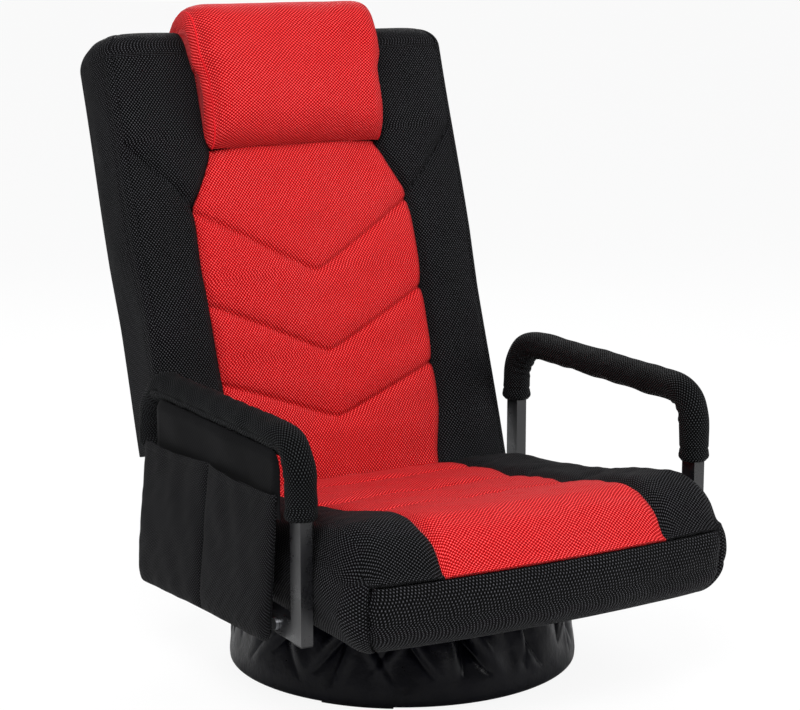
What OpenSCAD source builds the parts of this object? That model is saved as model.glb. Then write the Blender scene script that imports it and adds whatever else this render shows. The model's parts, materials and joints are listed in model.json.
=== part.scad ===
// Swivel floor chair with a ratchet recliner hinge, tubular armrests and a side pocket.
// Origin: centre of the base ring on the floor. +Z up, the sitter faces -Y.

/* [Base] */
// Outer radius of the floor ring
ring_outer_r = 218; // [200:1:240]
// Radius of the ring's steel tube
ring_tube_r = 11; // [9:0.5:13]
// Wall of the round steel tubes
tube_wall = 1.4; // [1:0.1:2]
// Thickness of the glide pads under the ring
pad_t = 2; // [1:0.5:4]
// Number of glide pads and of sloping legs
leg_count = 4; // [3:1:6]
// Radius of a sloping leg
leg_r = 8; // [6:0.5:10]
// Height of the underside of the lower swivel plate
plate_z = 115; // [112:1:118]
// Half the width of a swivel plate
plate_half = 80; // [70:1:90]
// Thickness of a swivel plate
plate_t = 2.5; // [2:0.5:4]
// Radius of the circle that the bearing balls run on
race_r = 50; // [42:1:56]
// Radius of a bearing ball
ball_r = 4; // [3:0.5:5]
// Number of bearing balls
ball_count = 20; // [12:1:24]

/* [Seat] */
// Half the width of the seat
seat_half = 252; // [240:1:254]
// Length of the seat along its middle
seat_len = 492.5; // [478:0.5:506]
// Rear of the seat, just clear of the turning back
seat_rear = 132.5; // [125:0.5:133]
// Height of the seam round the front of the seat
seam_front_z = 211; // [205:1:218]
// Height of the seam plane at the rear of the seat
seam_rear_z = 180; // [176:1:186]
// Highest point of the seat near its front edge
seat_crest_z = 268; // [262:1:276]
// Height of the seat where it meets the back
seat_low_z = 199; // [196:1:204]
// Half the width of the centre panel of the seat
seat_panel_half = 150; // [140:1:160]
// Depth of a sewn cross channel
channel_depth = 5; // [2:0.5:7]
// Radius of the tubes of the seat frame and the back frame
frame_r = 11; // [9:0.5:12]
// Half the distance between the side rails of the seat frame
rail_half = 200; // [190:1:205]

/* [Backrest] */
// Lean of the back from upright, in degrees
recline = 18.6; // [16:0.1:22]
// Thickness of the back
back_t = 100; // [92:1:104]
// Half the width of the back
back_half = 252; // [240:1:254]
// Length of the back above its junction with the seat
back_len = 600; // [580:1:620]
// How far the headrest's lower crease lies below the top of the back
head_drop = 153; // [150:1:160]
// How far the headrest rises above the top of the back
head_over = 40; // [34:1:46]
// How far the headrest stands out of the back
head_out = 54; // [44:1:60]

/* [Armrests] */
// Gap between the side of the seat and the flat tube
arm_gap = 11.3; // [11:0.1:16]
// Size of the flat tube across the chair
arm_tube_x = 15; // [12:0.5:18]
// Size of the flat tube along the chair
arm_tube_y = 25; // [20:0.5:28]
// Wall of the flat tube
arm_wall = 1.5; // [1:0.1:2]
// Front of the front post
arm_front = 255.5; // [245:0.5:262]
// Rear of the rear post
arm_rear = 165; // [158:1:172]
// Top of the flat tube
arm_top = 367; // [355:1:380]
// Underside of the flat tube
arm_bottom = 126.5; // [124:0.5:130]
// Outer radius of the front top corner
arm_front_r = 52; // [42:1:60]
// Outer radius of the rear top corner
arm_rear_r = 66; // [50:1:75]
// Radius of the padded sleeve
sleeve_r = 18.5; // [17:0.5:18.5]
// Height at which the sleeve ends on both posts
sleeve_end_z = 270; // [260:1:282]

/* [Hinge] */
// Number of teeth in a full turn of the ratchet
tooth_count = 24; // [24:1:24]
// Radius over the tooth tips
tooth_tip_r = 24; // [22:0.5:26]
// Depth of a tooth
tooth_depth = 4; // [3:0.5:5]
// Radius of the hinge pin
pin_r = 5; // [4:0.5:6]
// Thickness of a cheek plate
cheek_t = 3; // [2:0.5:4]
// Thickness of the ratchet plate
ratchet_t = 6; // [4:0.5:7]

/* [Hidden] */
$fn = 48;

// Amount by which a cut runs past the face that it opens
over = 1;
// Gap between soft pieces on different bodies
soft_gap = 0.3;
// Radial gap of a pin in its hole
pin_gap = 0.05;
// Gap between plates that slide on each other
slide_gap = 0.3;

// Base sizes that follow the driving sizes
ring_r = ring_outer_r - ring_tube_r;
ring_z = pad_t + ring_tube_r;
pad_half_w = 7;
pad_arc = 24;
leg_wall = 1.2;
leg_flat = 34;
leg_z = plate_z - leg_r;
race_groove = 1.5;
ball_gap = 0.1;
plate_gap = 2 * (ball_r - race_groove) + ball_gap;
upper_z = plate_z + plate_t + plate_gap;
upper_top_z = upper_z + plate_t;
cage_t = 2;
cage_half_w = 7;
rivet_r = 6;
rivet_head_r = 11;
rivet_head_t = 3;
plate_corner_share = 1.22;
plate_hole_share = 0.8;
plate_bolt_r = 3;
plate_bolt_head_r = 5.5;
plate_bolt_head_t = 3;

// Seat sizes that follow the driving sizes
rail_setback = 70;
cover_t = 1.2;
cover_z = upper_top_z;
seat_z = cover_z + cover_t;
rail_z = seat_z + frame_r;
seat_front = seat_len - seat_rear;
rail_front = seat_front - rail_setback;
rail_rear = 108;
rail_bend_r = 45;
cross_y = [-plate_half * plate_hole_share, plate_half * plate_hole_share];
strap_y = [-240, -186, -142, -46, -8];
strap_w = 36;
strap_t = 1.6;

// Heights along the back that follow its length
crease_v = back_len - head_drop;
head_top_v = back_len + head_over;
head_len = head_drop + head_over;
arm_x = seat_half + arm_gap + arm_tube_x / 2;

// Back plane: its foot is where it meets the seat
back_foot_y = 140.1;
back_foot_z = seat_low_z - 0.1;
pivot_w = back_t / 2;
pivot_v = -10;
pivot_y = back_foot_y + pivot_w * cos(recline) + pivot_v * sin(recline);
pivot_z = back_foot_z - pivot_w * sin(recline) + pivot_v * cos(recline);

// Steel rod between two points
module rod(a, b, r) {
    d = b - a;
    translate(a)
        rotate([0, acos(d[2] / norm(d)), atan2(d[1], d[0])])
            cylinder(h = norm(d), r = r);
}

// Closed solid through a list of rings, each with as many points
module loft(rings) {
    n = len(rings[0]);
    m = len(rings);
    sides = [for (i = [0 : m - 2]) for (j = [0 : n - 1]) for (k = [0, 1])
        k == 0 ? [i * n + j, (i + 1) * n + j, (i + 1) * n + (j + 1) % n]
               : [i * n + j, (i + 1) * n + (j + 1) % n, i * n + (j + 1) % n]];
    first = [for (j = [0 : n - 1]) j];
    last = [for (j = [n - 1 : -1 : 0]) (m - 1) * n + j];
    polyhedron(points = [for (r = rings) for (p = r) p], faces = concat([first], sides, [last]),
        convexity = 6);
}

// Value that falls smoothly from 1 at the middle of a channel to 0 beside it
function dip(x, at, width) = exp(-pow((x - at) / width, 2));

// Points of a quarter arc about a centre, from one angle to another
function arc(c, r, from, to, steps) =
    [for (i = [0 : steps]) let (t = from + (to - from) * i / steps) c + r * [cos(t), sin(t)]];

// Places its child in the frame of the back: X across, Y into the back, Z up the back
module on_back() {
    translate([0, back_foot_y, back_foot_z]) rotate([-recline, 0, 0]) children();
}

// Glide pads that carry the ring on the floor
module floor_pads() {
    color("#202022")
        for (i = [0 : leg_count - 1])
            rotate([0, 0, (i + 0.5) * 360 / leg_count - pad_arc / 2])
                difference() {
                    rotate_extrude(angle = pad_arc, $fn = 96)
                        translate([ring_r - pad_half_w, 0])
                            square([2 * pad_half_w, ring_z - ring_tube_r / 2 - pad_t]);
                    ring_tube(ring_tube_r);
                }
}

module ring_tube(r) {
    translate([0, 0, ring_z]) rotate_extrude($fn = 96) translate([ring_r, 0]) circle(r);
}

module base_ring() {
    color("#1c1c1e")
        difference() {
            ring_tube(ring_tube_r);
            ring_tube(ring_tube_r - tube_wall);
        }
}

// One leg: it rises from the ring and runs flat under the plate
module leg(r) {
    knee = [plate_half + leg_flat / 2, 0, leg_z];
    rod([ring_r, 0, ring_z], knee, r);
    translate(knee) sphere(r);
    rod([0, 0, leg_z], knee, r);
}

module base_legs() {
    color("#1c1c1e")
        difference() {
            union() for (i = [0 : leg_count - 1]) rotate([0, 0, i * 360 / leg_count]) leg(leg_r);
            ring_tube(ring_tube_r);
            for (i = [0 : leg_count - 1]) rotate([0, 0, i * 360 / leg_count]) leg(leg_r - leg_wall);
            translate([0, 0, leg_z - leg_r - over]) cylinder(h = 2 * (leg_r + over), r = rivet_head_r + over);
        }
}

// Square swivel plate with cut corners, bolt holes and a rivet hole
module plate_blank() {
    difference() {
        intersection() {
            translate([-plate_half, -plate_half, 0]) cube([2 * plate_half, 2 * plate_half, plate_t]);
            cylinder(h = plate_t, r = plate_half * plate_corner_share);
        }
        for (x = [-1, 1]) for (y = cross_y)
            translate([x * plate_half * plate_hole_share, y, -over])
                cylinder(h = plate_t + 2 * over, r = plate_bolt_r + pin_gap);
        translate([0, 0, -over]) cylinder(h = plate_t + 2 * over, r = rivet_r + pin_gap);
    }
}

module lower_swivel_plate() {
    color("#8c8f94")
        difference() {
            translate([0, 0, plate_z]) plate_blank();
            balls_path();
        }
}

module upper_swivel_plate() {
    color("#8c8f94")
        difference() {
            translate([0, 0, upper_z]) plate_blank();
            balls_path();
        }
}

ball_z = plate_z + plate_t + plate_gap / 2;

module balls(grow) {
    for (i = [0 : ball_count - 1])
        rotate([0, 0, i * 360 / ball_count]) translate([race_r, 0, ball_z]) sphere(ball_r + grow, $fn = 24);
}

// Groove that the balls run in
module balls_path() {
    translate([0, 0, ball_z]) rotate_extrude($fn = 96) translate([race_r, 0]) circle(ball_r + ball_gap);
}

module bearing_balls() {
    color("#d0d2d6") balls(0);
}

module ball_cage() {
    color("#e8e4d8")
        difference() {
            translate([0, 0, ball_z - cage_t / 2])
                difference() {
                    cylinder(h = cage_t, r = race_r + cage_half_w, $fn = 96);
                    translate([0, 0, -over]) cylinder(h = cage_t + 2 * over, r = race_r - cage_half_w, $fn = 96);
                }
            balls(ball_gap);
        }
}

// Rivet on which the upper plate turns
module swivel_rivet() {
    color("#b0b2b6") {
        translate([0, 0, plate_z - rivet_head_t]) cylinder(h = rivet_head_t, r = rivet_head_r);
        translate([0, 0, plate_z]) cylinder(h = upper_top_z + slide_gap - plate_z, r = rivet_r);
        translate([0, 0, upper_top_z + slide_gap]) cylinder(h = rivet_head_t, r = rivet_head_r);
    }
}

// Closed ring-shaped solid through profiles set round a circle
module loop_loft(rings) {
    n = len(rings[0]);
    m = len(rings);
    polyhedron(
        points = [for (r = rings) for (p = r) p],
        faces = [for (i = [0 : m - 1]) for (j = [0 : n - 1]) for (k = [0, 1])
            k == 0 ? [i * n + j, i * n + (j + 1) % n, ((i + 1) % m) * n + (j + 1) % n]
                   : [i * n + j, ((i + 1) % m) * n + (j + 1) % n, ((i + 1) % m) * n + j]],
        convexity = 8);
}

// Dust cover: taut at the hem, gathered into folds above it
skirt_t = 1;
skirt_gap = 0.4;
skirt_hem_z = 3;
skirt_taut_z = 24;
skirt_top_z = cover_z - 4;
skirt_round = 9;
skirt_mouth_r = 118;
skirt_lean = 8;
skirt_fold = 9;
skirt_steps = 64;
fold_rows = [0, 0.28, 0.55, 0.8, 1];
fold_row_shares = [0, 0.55, 1, 0.85, 0.5];

// How far the cloth is drawn in at an angle, as a share of the deepest fold
function gather(t) =
    0.5 + 0.5 * sin(9 * t + 70 * sin(2 * t)) * (0.35 + 0.65 * pow(cos((t + 60) / 2), 2));

function skirt_wall(t, inset) = let (r = ring_outer_r + skirt_gap + skirt_t - inset)
    concat(
        [[r, skirt_hem_z]],
        [for (i = [0 : len(fold_rows) - 1]) let (k = fold_rows[i]) [
            r - skirt_lean * k - skirt_fold * fold_row_shares[i] * gather(t + 12 * k),
            skirt_taut_z + (skirt_top_z - skirt_round - skirt_taut_z) * k]],
        [[r - skirt_lean - skirt_round - skirt_fold * gather(t) / 2, skirt_top_z - inset]],
        [[skirt_mouth_r, skirt_top_z - inset]]);

module dust_cover() {
    color("#0c0c14")
        loop_loft([for (i = [0 : skirt_steps - 1]) let (t = i * 360 / skirt_steps)
            [for (p = concat(skirt_wall(t, 0), let (w = skirt_wall(t, skirt_t)) [for (j = [len(w) - 1 : -1 : 0]) w[j]]))
                [p[0] * cos(t), p[0] * sin(t), p[1]]]]);
}

// Bolts and threaded inserts that hold the swivel plate to the cross tubes
insert_h = 5;
insert_r = 4.5;
module plate_bolts() {
    color("#b0b2b6")
        for (x = [-1, 1]) for (y = cross_y) translate([x * plate_half * plate_hole_share, y, 0]) {
            translate([0, 0, upper_z - plate_bolt_head_t]) cylinder(h = plate_bolt_head_t, r = plate_bolt_head_r);
            translate([0, 0, upper_z]) cylinder(h = rail_z - upper_z, r = plate_bolt_r);
            translate([0, 0, rail_z - insert_h - plate_bolt_r]) cylinder(h = insert_h, r = insert_r);
        }
}

// Cloth that closes the underside of the seat
cover_edge = 4;
cavity_half = 228;
cavity_front = 306;
module bottom_cover() {
    color("#141416")
        difference() {
            translate([-cavity_half + cover_edge, -cavity_front + cover_edge, cover_z])
                cube([2 * (cavity_half - cover_edge), cavity_front + rail_rear - 2 * cover_edge, cover_t]);
            translate([0, 0, cover_z - over]) cylinder(h = cover_t + 2 * over, r = rivet_head_r + over);
            for (x = [-1, 1]) for (y = cross_y)
                translate([x * plate_half * plate_hole_share, y, cover_z - over])
                    cylinder(h = cover_t + 2 * over, r = plate_bolt_r + pin_gap);
        }
}

// Bent side rails and front rail of the seat, as one tube of the given radius
module seat_loop(r) {
    for (s = [-1, 1]) {
        rod([s * rail_half, -rail_front + rail_bend_r, rail_z], [s * rail_half, rail_rear, rail_z], r);
        translate([s * (rail_half - rail_bend_r), -rail_front + rail_bend_r, rail_z])
            rotate([0, 0, s > 0 ? 270 : 180])
                rotate_extrude(angle = 90, $fn = 96) translate([rail_bend_r, 0]) circle(r);
    }
    rod([-rail_half + rail_bend_r, -rail_front, rail_z], [rail_half - rail_bend_r, -rail_front, rail_z], r);
}

module cross_tubes(r) {
    for (y = cross_y)
        rod([-rail_half, y, rail_z], [rail_half, y, rail_z], r);
}

arm_bolt_y = [-195, 41];
arm_bolt_r = 4;
arm_head_r = 7;
arm_head_t = 3.5;
nut_h = 5;
spacer_r = 8;
module seat_frame() {
    color("#1c1c1e")
        difference() {
            union() {
                seat_loop(frame_r);
                cross_tubes(frame_r);
            }
            seat_loop(frame_r - tube_wall);
            cross_tubes(frame_r - tube_wall);
            for (x = [-1, 1]) for (y = cross_y)
                translate([x * plate_half * plate_hole_share, y, rail_z - frame_r - over])
                    cylinder(h = 2 * (frame_r + over), r = plate_bolt_r + pin_gap);
            for (y = arm_bolt_y)
                rod([-rail_half - frame_r - over, y, rail_z], [-rail_half + frame_r + over, y, rail_z],
                    arm_bolt_r + pin_gap);
            for (y = arm_bolt_y)
                rod([rail_half - frame_r - over, y, rail_z], [rail_half + frame_r + over, y, rail_z],
                    arm_bolt_r + pin_gap);
        }
}

// Tube that closes the rear of the frame, fitted between the side rails
rear_tube_r = 9;
module rear_cross_tube() {
    y = rail_rear - 2 * frame_r;
    color("#1c1c1e")
        difference() {
            rod([-rail_half, y, rail_z], [rail_half, y, rail_z], rear_tube_r);
            rod([-rail_half, y, rail_z], [rail_half, y, rail_z], rear_tube_r - tube_wall);
            seat_loop(frame_r);
        }
}

// Webbing band laid over two tubes and turned down over their outer sides
module band(half, r, width) {
    rotate([90, 0, 0])
        translate([0, 0, -width])
            linear_extrude(width) {
                translate([-half, r]) square([2 * half, strap_t]);
                for (s = [-1, 1])
                    translate([s * half, 0])
                        difference() {
                            circle(r + strap_t);
                            circle(r);
                            translate([s > 0 ? -r - strap_t - over : 0, -r - strap_t - over])
                                square([r + strap_t + over, 2 * (r + strap_t + over)]);
                            translate([-r - strap_t - over, -r - strap_t - over])
                                square([2 * (r + strap_t + over), r + strap_t + over]);
                        }
            }
}

module seat_webbing() {
    color("#2a2a2c")
        for (y = strap_y) translate([0, y, rail_z]) band(rail_half, frame_r, strap_w);
}

// Height of the seat's surface along its length, as shares of its rise from low to crest
seat_share_at = [0, 0.018, 0.028, 0.045, 0.081, 0.142, 0.20, 0.262, 0.327, 0.394, 0.487, 0.579, 0.66,
    0.755, 0.82, 0.877, 0.95, 1];
seat_rise_shares = [0.23, 0.30, 0.44, 0.66, 0.87, 1, 0.96, 0.88, 0.78, 0.68, 0.56, 0.47, 0.39,
    0.31, 0.27, 0.225, 0.14, 0.04];
seat_channel_shares = [0.394, 0.634, 0.86];
channel_width_share = 0.018;
front_bulge = 17;
seat_corner_r = 40;
seat_side_r = 20;
seam_dip = 4;
cavity_roof = rail_z + frame_r + strap_t + soft_gap;
cavity_roof_rear = 178;
hinge_y = 84;
notch_half = 10;
notch_flare = 0.2;
rear_slope_share = 0.7;
corner_share = 0.45;
gusset_swell = 3;
seat_steps = 38;

function seat_y(k, x) = -(seat_front - front_bulge * pow(x / seat_half, 2)) * (1 - k) + seat_rear * k;
seam_lift = 0.005;
function seam_z(y) = seam_front_z + (seam_rear_z - seam_front_z) * (y + seat_front) / (seat_front + seat_rear);
function seat_rise(k) = lookup(k, [for (i = [0 : len(seat_share_at) - 1]) [seat_share_at[i], seat_rise_shares[i]]]);
function seat_top(k) = seat_low_z + (seat_crest_z - seat_low_z) * seat_rise(k)
    - channel_depth * max([for (c = seat_channel_shares) dip(k, c, channel_width_share)]);
seat_ks = concat([0, 0.018, 0.03, 0.05, 0.08],
    [for (i = [1 : seat_steps - 5]) 0.08 + (1 - 0.08) * i / (seat_steps - 5)]);

// Section of a top cushion at one place across the seat
function cushion_ring(x, rise) = concat(
    [for (k = seat_ks) let (y = seat_y(k, x), low = seam_z(y)) [x, y, low + (seat_top(k) - low) * rise]],
    [for (i = [len(seat_ks) - 1 : -3 : 0]) let (y = seat_y(seat_ks[i], x)) [x, y, seam_z(y) + seam_lift]]);

pad_across_shares = [-1, -0.94, -0.75, -0.4, 0, 0.4, 0.75, 0.94, 1];
pad_rise_shares = [0.9, 0.95, 0.98, 1, 1, 1, 0.98, 0.95, 0.9];
module seat_centre_pad() {
    color("#d8202c")
        loft([for (i = [0 : len(pad_across_shares) - 1])
            cushion_ring(seat_panel_half * pad_across_shares[i], pad_rise_shares[i])]);
}

bolster_across_shares = [0, 0.05, 0.2, 0.45, 0.68, 0.84, 0.94, 0.985];
bolster_rise_shares = [0.9, 0.95, 1.04, 1.06, 1.02, 0.88, 0.66, 0.4];
module seat_bolster() {
    loft([for (i = [0 : len(bolster_across_shares) - 1])
        cushion_ring(seat_panel_half + (seat_half - seat_panel_half) * bolster_across_shares[i],
            bolster_rise_shares[i])]);
}

module seat_bolster_left() {
    color("#18181a") seat_bolster();
}

module seat_bolster_right() {
    color("#18181a") mirror([1, 0, 0]) seat_bolster();
}

// Section of the seat's lower body: s draws the section in towards its middle height
function body_ring(x, open, s) =
    let (yf = -seat_y(0, x), zm = (seam_front_z + seat_z) / 2,
        roof = open ? cavity_roof : seat_z + s, rear = open ? cavity_roof_rear : seat_z + s,
        low = seat_z + s, front_y = -yf + s / 2, rear_y = seat_rear - s / 4,
        top = seam_z(front_y) - s,
        tip = open ? cavity_roof + over : max(cavity_roof, low + over),
        corner = min(seat_corner_r, (top - low) * corner_share),
        reach = min(seat_corner_r, -front_y - cavity_front - over))
    concat(
        [[x, front_y, top], [x, rear_y, seam_z(rear_y) - s * rear_slope_share]],
        [[x, rear_y, rear]],
        [[x, hinge_y + over, rear + over / 4], [x, hinge_y, roof + over / 4]],
        [for (i = [1 : -1 : 0]) for (p = [[1, roof], [1, tip], [-1, tip], [-1, roof]])
            [x, arm_bolt_y[i] + p[0] * (notch_half + (p[1] == roof ? notch_flare : 0)), p[1]]],
        [[x, -cavity_front + over, roof], [x, -cavity_front, low]],
        [for (a = [0 : 15 : 90]) [x, front_y + reach * (1 - sin(a)), low + corner * (1 - cos(a))]],
        [[x, front_y - gusset_swell, zm + gusset_swell]]);

// Rings near the sides of the body: how far in from the side, and how far the section is drawn in
side_rings = [[14, 2], [6, 7], [1, 16], [0, 26]];
body_across_shares = [0, 0.3, 0.6, 0.8];
module seat_body() {
    half = concat([for (k = body_across_shares) [k * seat_half, true, 0]],
        [[cavity_half, true, 0], [cavity_half + soft_gap, false, 0]],
        [for (p = side_rings) [seat_half - p[0], false, p[1]]]);
    color("#18181a")
        loft(concat(
            [for (i = [len(half) - 1 : -1 : 1]) body_ring(-half[i][0], half[i][1], half[i][2])],
            [for (h = half) body_ring(h[0], h[1], h[2])]));
}

// Hinge: places in the side view, Y to the rear and Z up
cheek_in = rail_half + frame_r;
ratchet_in = cheek_in + cheek_t + slide_gap;
cheek_out = ratchet_in + ratchet_t + slide_gap;
leg_half = ratchet_in - frame_r;
leg_w = 79;
tooth_pitch = 360 / tooth_count;
pawl_tip_a = 252;
pawl_r = 40;
pawl_a = 197;
pawl_hub_r = 6;
pawl_pin_r = 3;
pivot = [pivot_y, pivot_z];
pawl_at = pivot + pawl_r * [cos(pawl_a), sin(pawl_a)];
foot = [rail_rear - frame_r, rail_z];
cheek_r = tooth_tip_r + 3;

bar_waist_share = 0.94;
// Straight bar with round ends, drawn in the plane
module bar_2d(p, q, r) {
    d = q - p;
    waist = r * bar_waist_share;
    translate(p) circle(r);
    translate(q) circle(r);
    translate(p) rotate(atan2(d[1], d[0])) translate([0, -waist]) square([norm(d), 2 * waist]);
}

// Stands a drawing in the side plane up at a place across the chair
module side_plate(x, t) {
    translate([x, 0, 0]) rotate([90, 0, 90]) linear_extrude(t) children();
}

module cheek_2d() {
    difference() {
        union() {
            translate(pivot) circle(cheek_r);
            bar_2d(foot, pivot, frame_r);
            bar_2d(pawl_at, pivot, pawl_hub_r + cheek_t);
        }
        translate(pivot) circle(pin_r + pin_gap);
        translate(pawl_at) circle(pawl_pin_r + pin_gap);
    }
}

// Two cheeks welded to the side rail, with a spacer between them
module hinge_bracket() {
    side_plate(cheek_in, cheek_t) cheek_2d();
    side_plate(cheek_out, cheek_t) cheek_2d();
    side_plate(cheek_in + cheek_t, cheek_out - cheek_in - cheek_t) translate(foot) circle(frame_r * bar_waist_share);
}

module hinge_bracket_left() {
    color("#3a3a3e") hinge_bracket();
}

module hinge_bracket_right() {
    color("#3a3a3e") mirror([1, 0, 0]) hinge_bracket();
}

// Pins of the hinge and of the pawl, with a head at each end
pin_head_t = 2.5;
module headed_pin(at, r) {
    side_plate(cheek_in, cheek_out + cheek_t - cheek_in) translate(at) circle(r);
    side_plate(cheek_in - pin_head_t, pin_head_t) translate(at) circle(r + cheek_t);
    side_plate(cheek_out + cheek_t, pin_head_t) translate(at) circle(r + cheek_t);
}

module hinge_pins() {
    color("#c4c6ca") {
        headed_pin(pivot, pin_r);
        mirror([1, 0, 0]) headed_pin(pivot, pin_r);
    }
}

module pawl_pins() {
    color("#c4c6ca") {
        headed_pin(pawl_at, pawl_pin_r);
        mirror([1, 0, 0]) headed_pin(pawl_at, pawl_pin_r);
    }
}

// A point round the hinge pivot
function polar(c, r, a) = c + r * [cos(a), sin(a)];

// Angles inside one tooth gap, as shares of the tooth pitch, from the tip backwards
root_start_share = 0.1;
root_end_share = 0.33;
nose_lead_share = 0.16;
nose_trail_share = 0.31;
tip_land_share = 0.06;
nose_gap = 0.4;
nose_len = 3;
hub_bite = 0.8;
hub_side_a = 50;
nose_out = 7;

// Pawl: a hub and a nose that seats in a tooth gap
module pawl() {
    root = tooth_tip_r - tooth_depth + nose_gap;
    nose = polar(pivot, tooth_tip_r, pawl_tip_a - tooth_pitch * nose_lead_share) - pawl_at;
    nose_a = atan2(nose[1], nose[0]);
    color("#8c8f94")
        difference() {
            union() {
                side_plate(ratchet_in, ratchet_t) translate(pawl_at) circle(pawl_hub_r);
                side_plate(ratchet_in, ratchet_t)
                    polygon([
                        polar(pivot, root, pawl_tip_a - tooth_pitch * nose_lead_share),
                        polar(pivot, tooth_tip_r + nose_out, pawl_tip_a - tooth_pitch * root_start_share),
                        polar(pawl_at, pawl_hub_r - hub_bite, nose_a - hub_side_a),
                        polar(pawl_at, pawl_hub_r - hub_bite, nose_a + hub_side_a),
                        polar(pivot, tooth_tip_r + nose_len, pawl_tip_a - tooth_pitch),
                        polar(pivot, root, pawl_tip_a - tooth_pitch * nose_trail_share)]);
            }
            side_plate(ratchet_in - over, ratchet_t + 2 * over) translate(pawl_at) circle(pawl_pin_r + pin_gap);
        }
}

module pawl_left() {
    pawl();
}

module pawl_right() {
    mirror([1, 0, 0]) pawl();
}

// Ratchet wheel and the arm that is welded to the back frame's leg, in the frame of the back
arm_top_v = 66;
module ratchet_arm() {
    c = [pivot_w, pivot_v];
    root = tooth_tip_r - tooth_depth;
    color("#8c8f94")
        on_back()
            side_plate(ratchet_in, ratchet_t)
                difference() {
                    union() {
                        polygon([for (i = [0 : tooth_count - 1]) let (a = pawl_tip_a + recline + i * tooth_pitch)
                            for (p = [[root, -root_end_share], [root, -root_start_share], [tooth_tip_r, 0],
                                [tooth_tip_r, tip_land_share]])
                                polar(c, p[0], a + p[1] * tooth_pitch)]);
                        bar_2d(c + [frame_r / 2, frame_r], [leg_w, arm_top_v], frame_r);
                    }
                    translate(c) circle(pin_r + pin_gap);
                }
}

module ratchet_arm_left() {
    ratchet_arm();
}

module ratchet_arm_right() {
    mirror([1, 0, 0]) ratchet_arm();
}

// Bent tube of the back with two cross tubes
leg_start_v = 27;
hoop_top_gap = 5;
cavity_top_drop = 24;
cavity_top_v = back_len - cavity_top_drop;
hoop_top_v = cavity_top_v - frame_r - hoop_top_gap;
hoop_bend_r = 60;
back_cross_v = [118, 330];
back_cross_r = 8;
module hoop(r) {
    for (s = [-1, 1]) {
        rod([s * leg_half, leg_w, leg_start_v], [s * leg_half, leg_w, hoop_top_v - hoop_bend_r], r);
        translate([s * (leg_half - hoop_bend_r), leg_w, hoop_top_v - hoop_bend_r])
            rotate([90, 0, 0]) rotate([0, 0, s > 0 ? 0 : 90])
                rotate_extrude(angle = 90, $fn = 96) translate([hoop_bend_r, 0]) circle(r);
    }
    rod([-leg_half + hoop_bend_r, leg_w, hoop_top_v], [leg_half - hoop_bend_r, leg_w, hoop_top_v], r);
}

module back_bars(r) {
    for (v = back_cross_v) rod([-leg_half, leg_w, v], [leg_half, leg_w, v], r);
}

module back_frame() {
    color("#1c1c1e")
        on_back()
            difference() {
                union() {
                    hoop(frame_r);
                    back_bars(back_cross_r);
                }
                hoop(frame_r - tube_wall);
                back_bars(back_cross_r - tube_wall);
            }
}

back_strap_v = [150, 216, 270, 360, 424];
module back_webbing() {
    color("#2a2a2c")
        on_back()
            for (v = back_strap_v)
                translate([0, leg_w, v]) rotate([90, 0, 0]) band(leg_half, frame_r, strap_w);
}

// Soft back: values along its height, each table as places in millimetres up the back
recess = 14;
roll_r = back_t / 2;
top_r = 30;
corner_r = 36;
notch_u = 185;
notch_v = 82;
notch_w = 20;
back_cavity_w = 62;
back_cavity_u = 217;
low_cavity_u = 176;
thin = 0.05;
edge_round = 12;
rear_round = 8;
wing_crown_share = 0.17;
wing_edge_share = 0.08;
ridge_share = 1.17;
gusset_front_share = 0.36;
gusset_rear_share = 0.6;
waist_v = 240;
waist_in = 2;
panel_low_at = [[-50, 141], [0, 141], [notch_v, 156], [140, 158], [waist_v, 160], [290, 162], [370, 159]];
panel_neck_at = [[206, 148], [179, 134], [head_drop, 124], [70, 124], [cavity_top_drop, 132], [-head_over, 132]];
panel_half_at = concat(panel_low_at, [for (p = panel_neck_at) [back_len - p[0], p[1]]]);
chevrons = [[77, 139], [164, 243], [272, 365]];
chevron_half = 159;
chevron_depth = 5;
chevron_width = 7;
panel_crown = 7;
panel_edge_dip = 3;
panel_rise_v = 60;

function panel_half(v) = lookup(v, panel_half_at);
function round_in(d, r) = r - sqrt(max(0, r * r - d * d));
function back_front(v) =
    v < pivot_v ? round_in(pivot_v - v, roll_r)
    : v > back_len - top_r ? round_in(v - back_len + top_r, top_r) : 0;
function back_side(v) =
    v < 0 ? notch_u + over
    : v > back_len - corner_r ? back_half - round_in(v - back_len + corner_r, corner_r)
    : back_half - (v < waist_v ? waist_in : 0);

function back_ring(v) =
    let (f = back_front(v), t = back_t - f, p = panel_half(v), h = back_side(v),
        low = v < notch_v, s = low ? notch_u : h, c = low ? low_cavity_u : min(back_cavity_u, h - notch_w),
        cav = v < cavity_top_v ? back_cavity_w : t - over, e = min(edge_round, (h - p) / 4),
        half = [[p, f + recess], [p, f + e / 2], [p + e, f], [(p + h) / 2, f - e * wing_crown_share],
            [h - e, f + e * wing_edge_share], [h - e / 3, f + e / 2], [h, f + e * ridge_share],
            [h, low ? notch_w + f : f + (t - f) * gusset_front_share],
            [s, low ? notch_w + f + soft_gap : f + (t - f) * gusset_rear_share],
            [s, t - rear_round], [s - rear_round, t], [c, t], [c, cav]])
    [for (q = concat(half, [for (i = [len(half) - 1 : -1 : 0]) [-half[i][0], half[i][1]]])) [q[0], q[1], v]];

roll_vs = [-42, -34, -22, -10];
back_low_vs = concat(roll_vs, [-2, 0, 20, notch_v - thin, notch_v, 140, 190, waist_v - thin, waist_v, 290, 330, 370]);
neck_drops = [206, 179, head_drop];
top_drops = [70, 44, 34, cavity_top_drop + thin, cavity_top_drop, 16, 9, 4, 0];
back_vs = concat([-46], back_low_vs, [for (d = neck_drops) back_len - d], [back_len - 110],
    [for (d = top_drops) back_len - d]);

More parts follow.
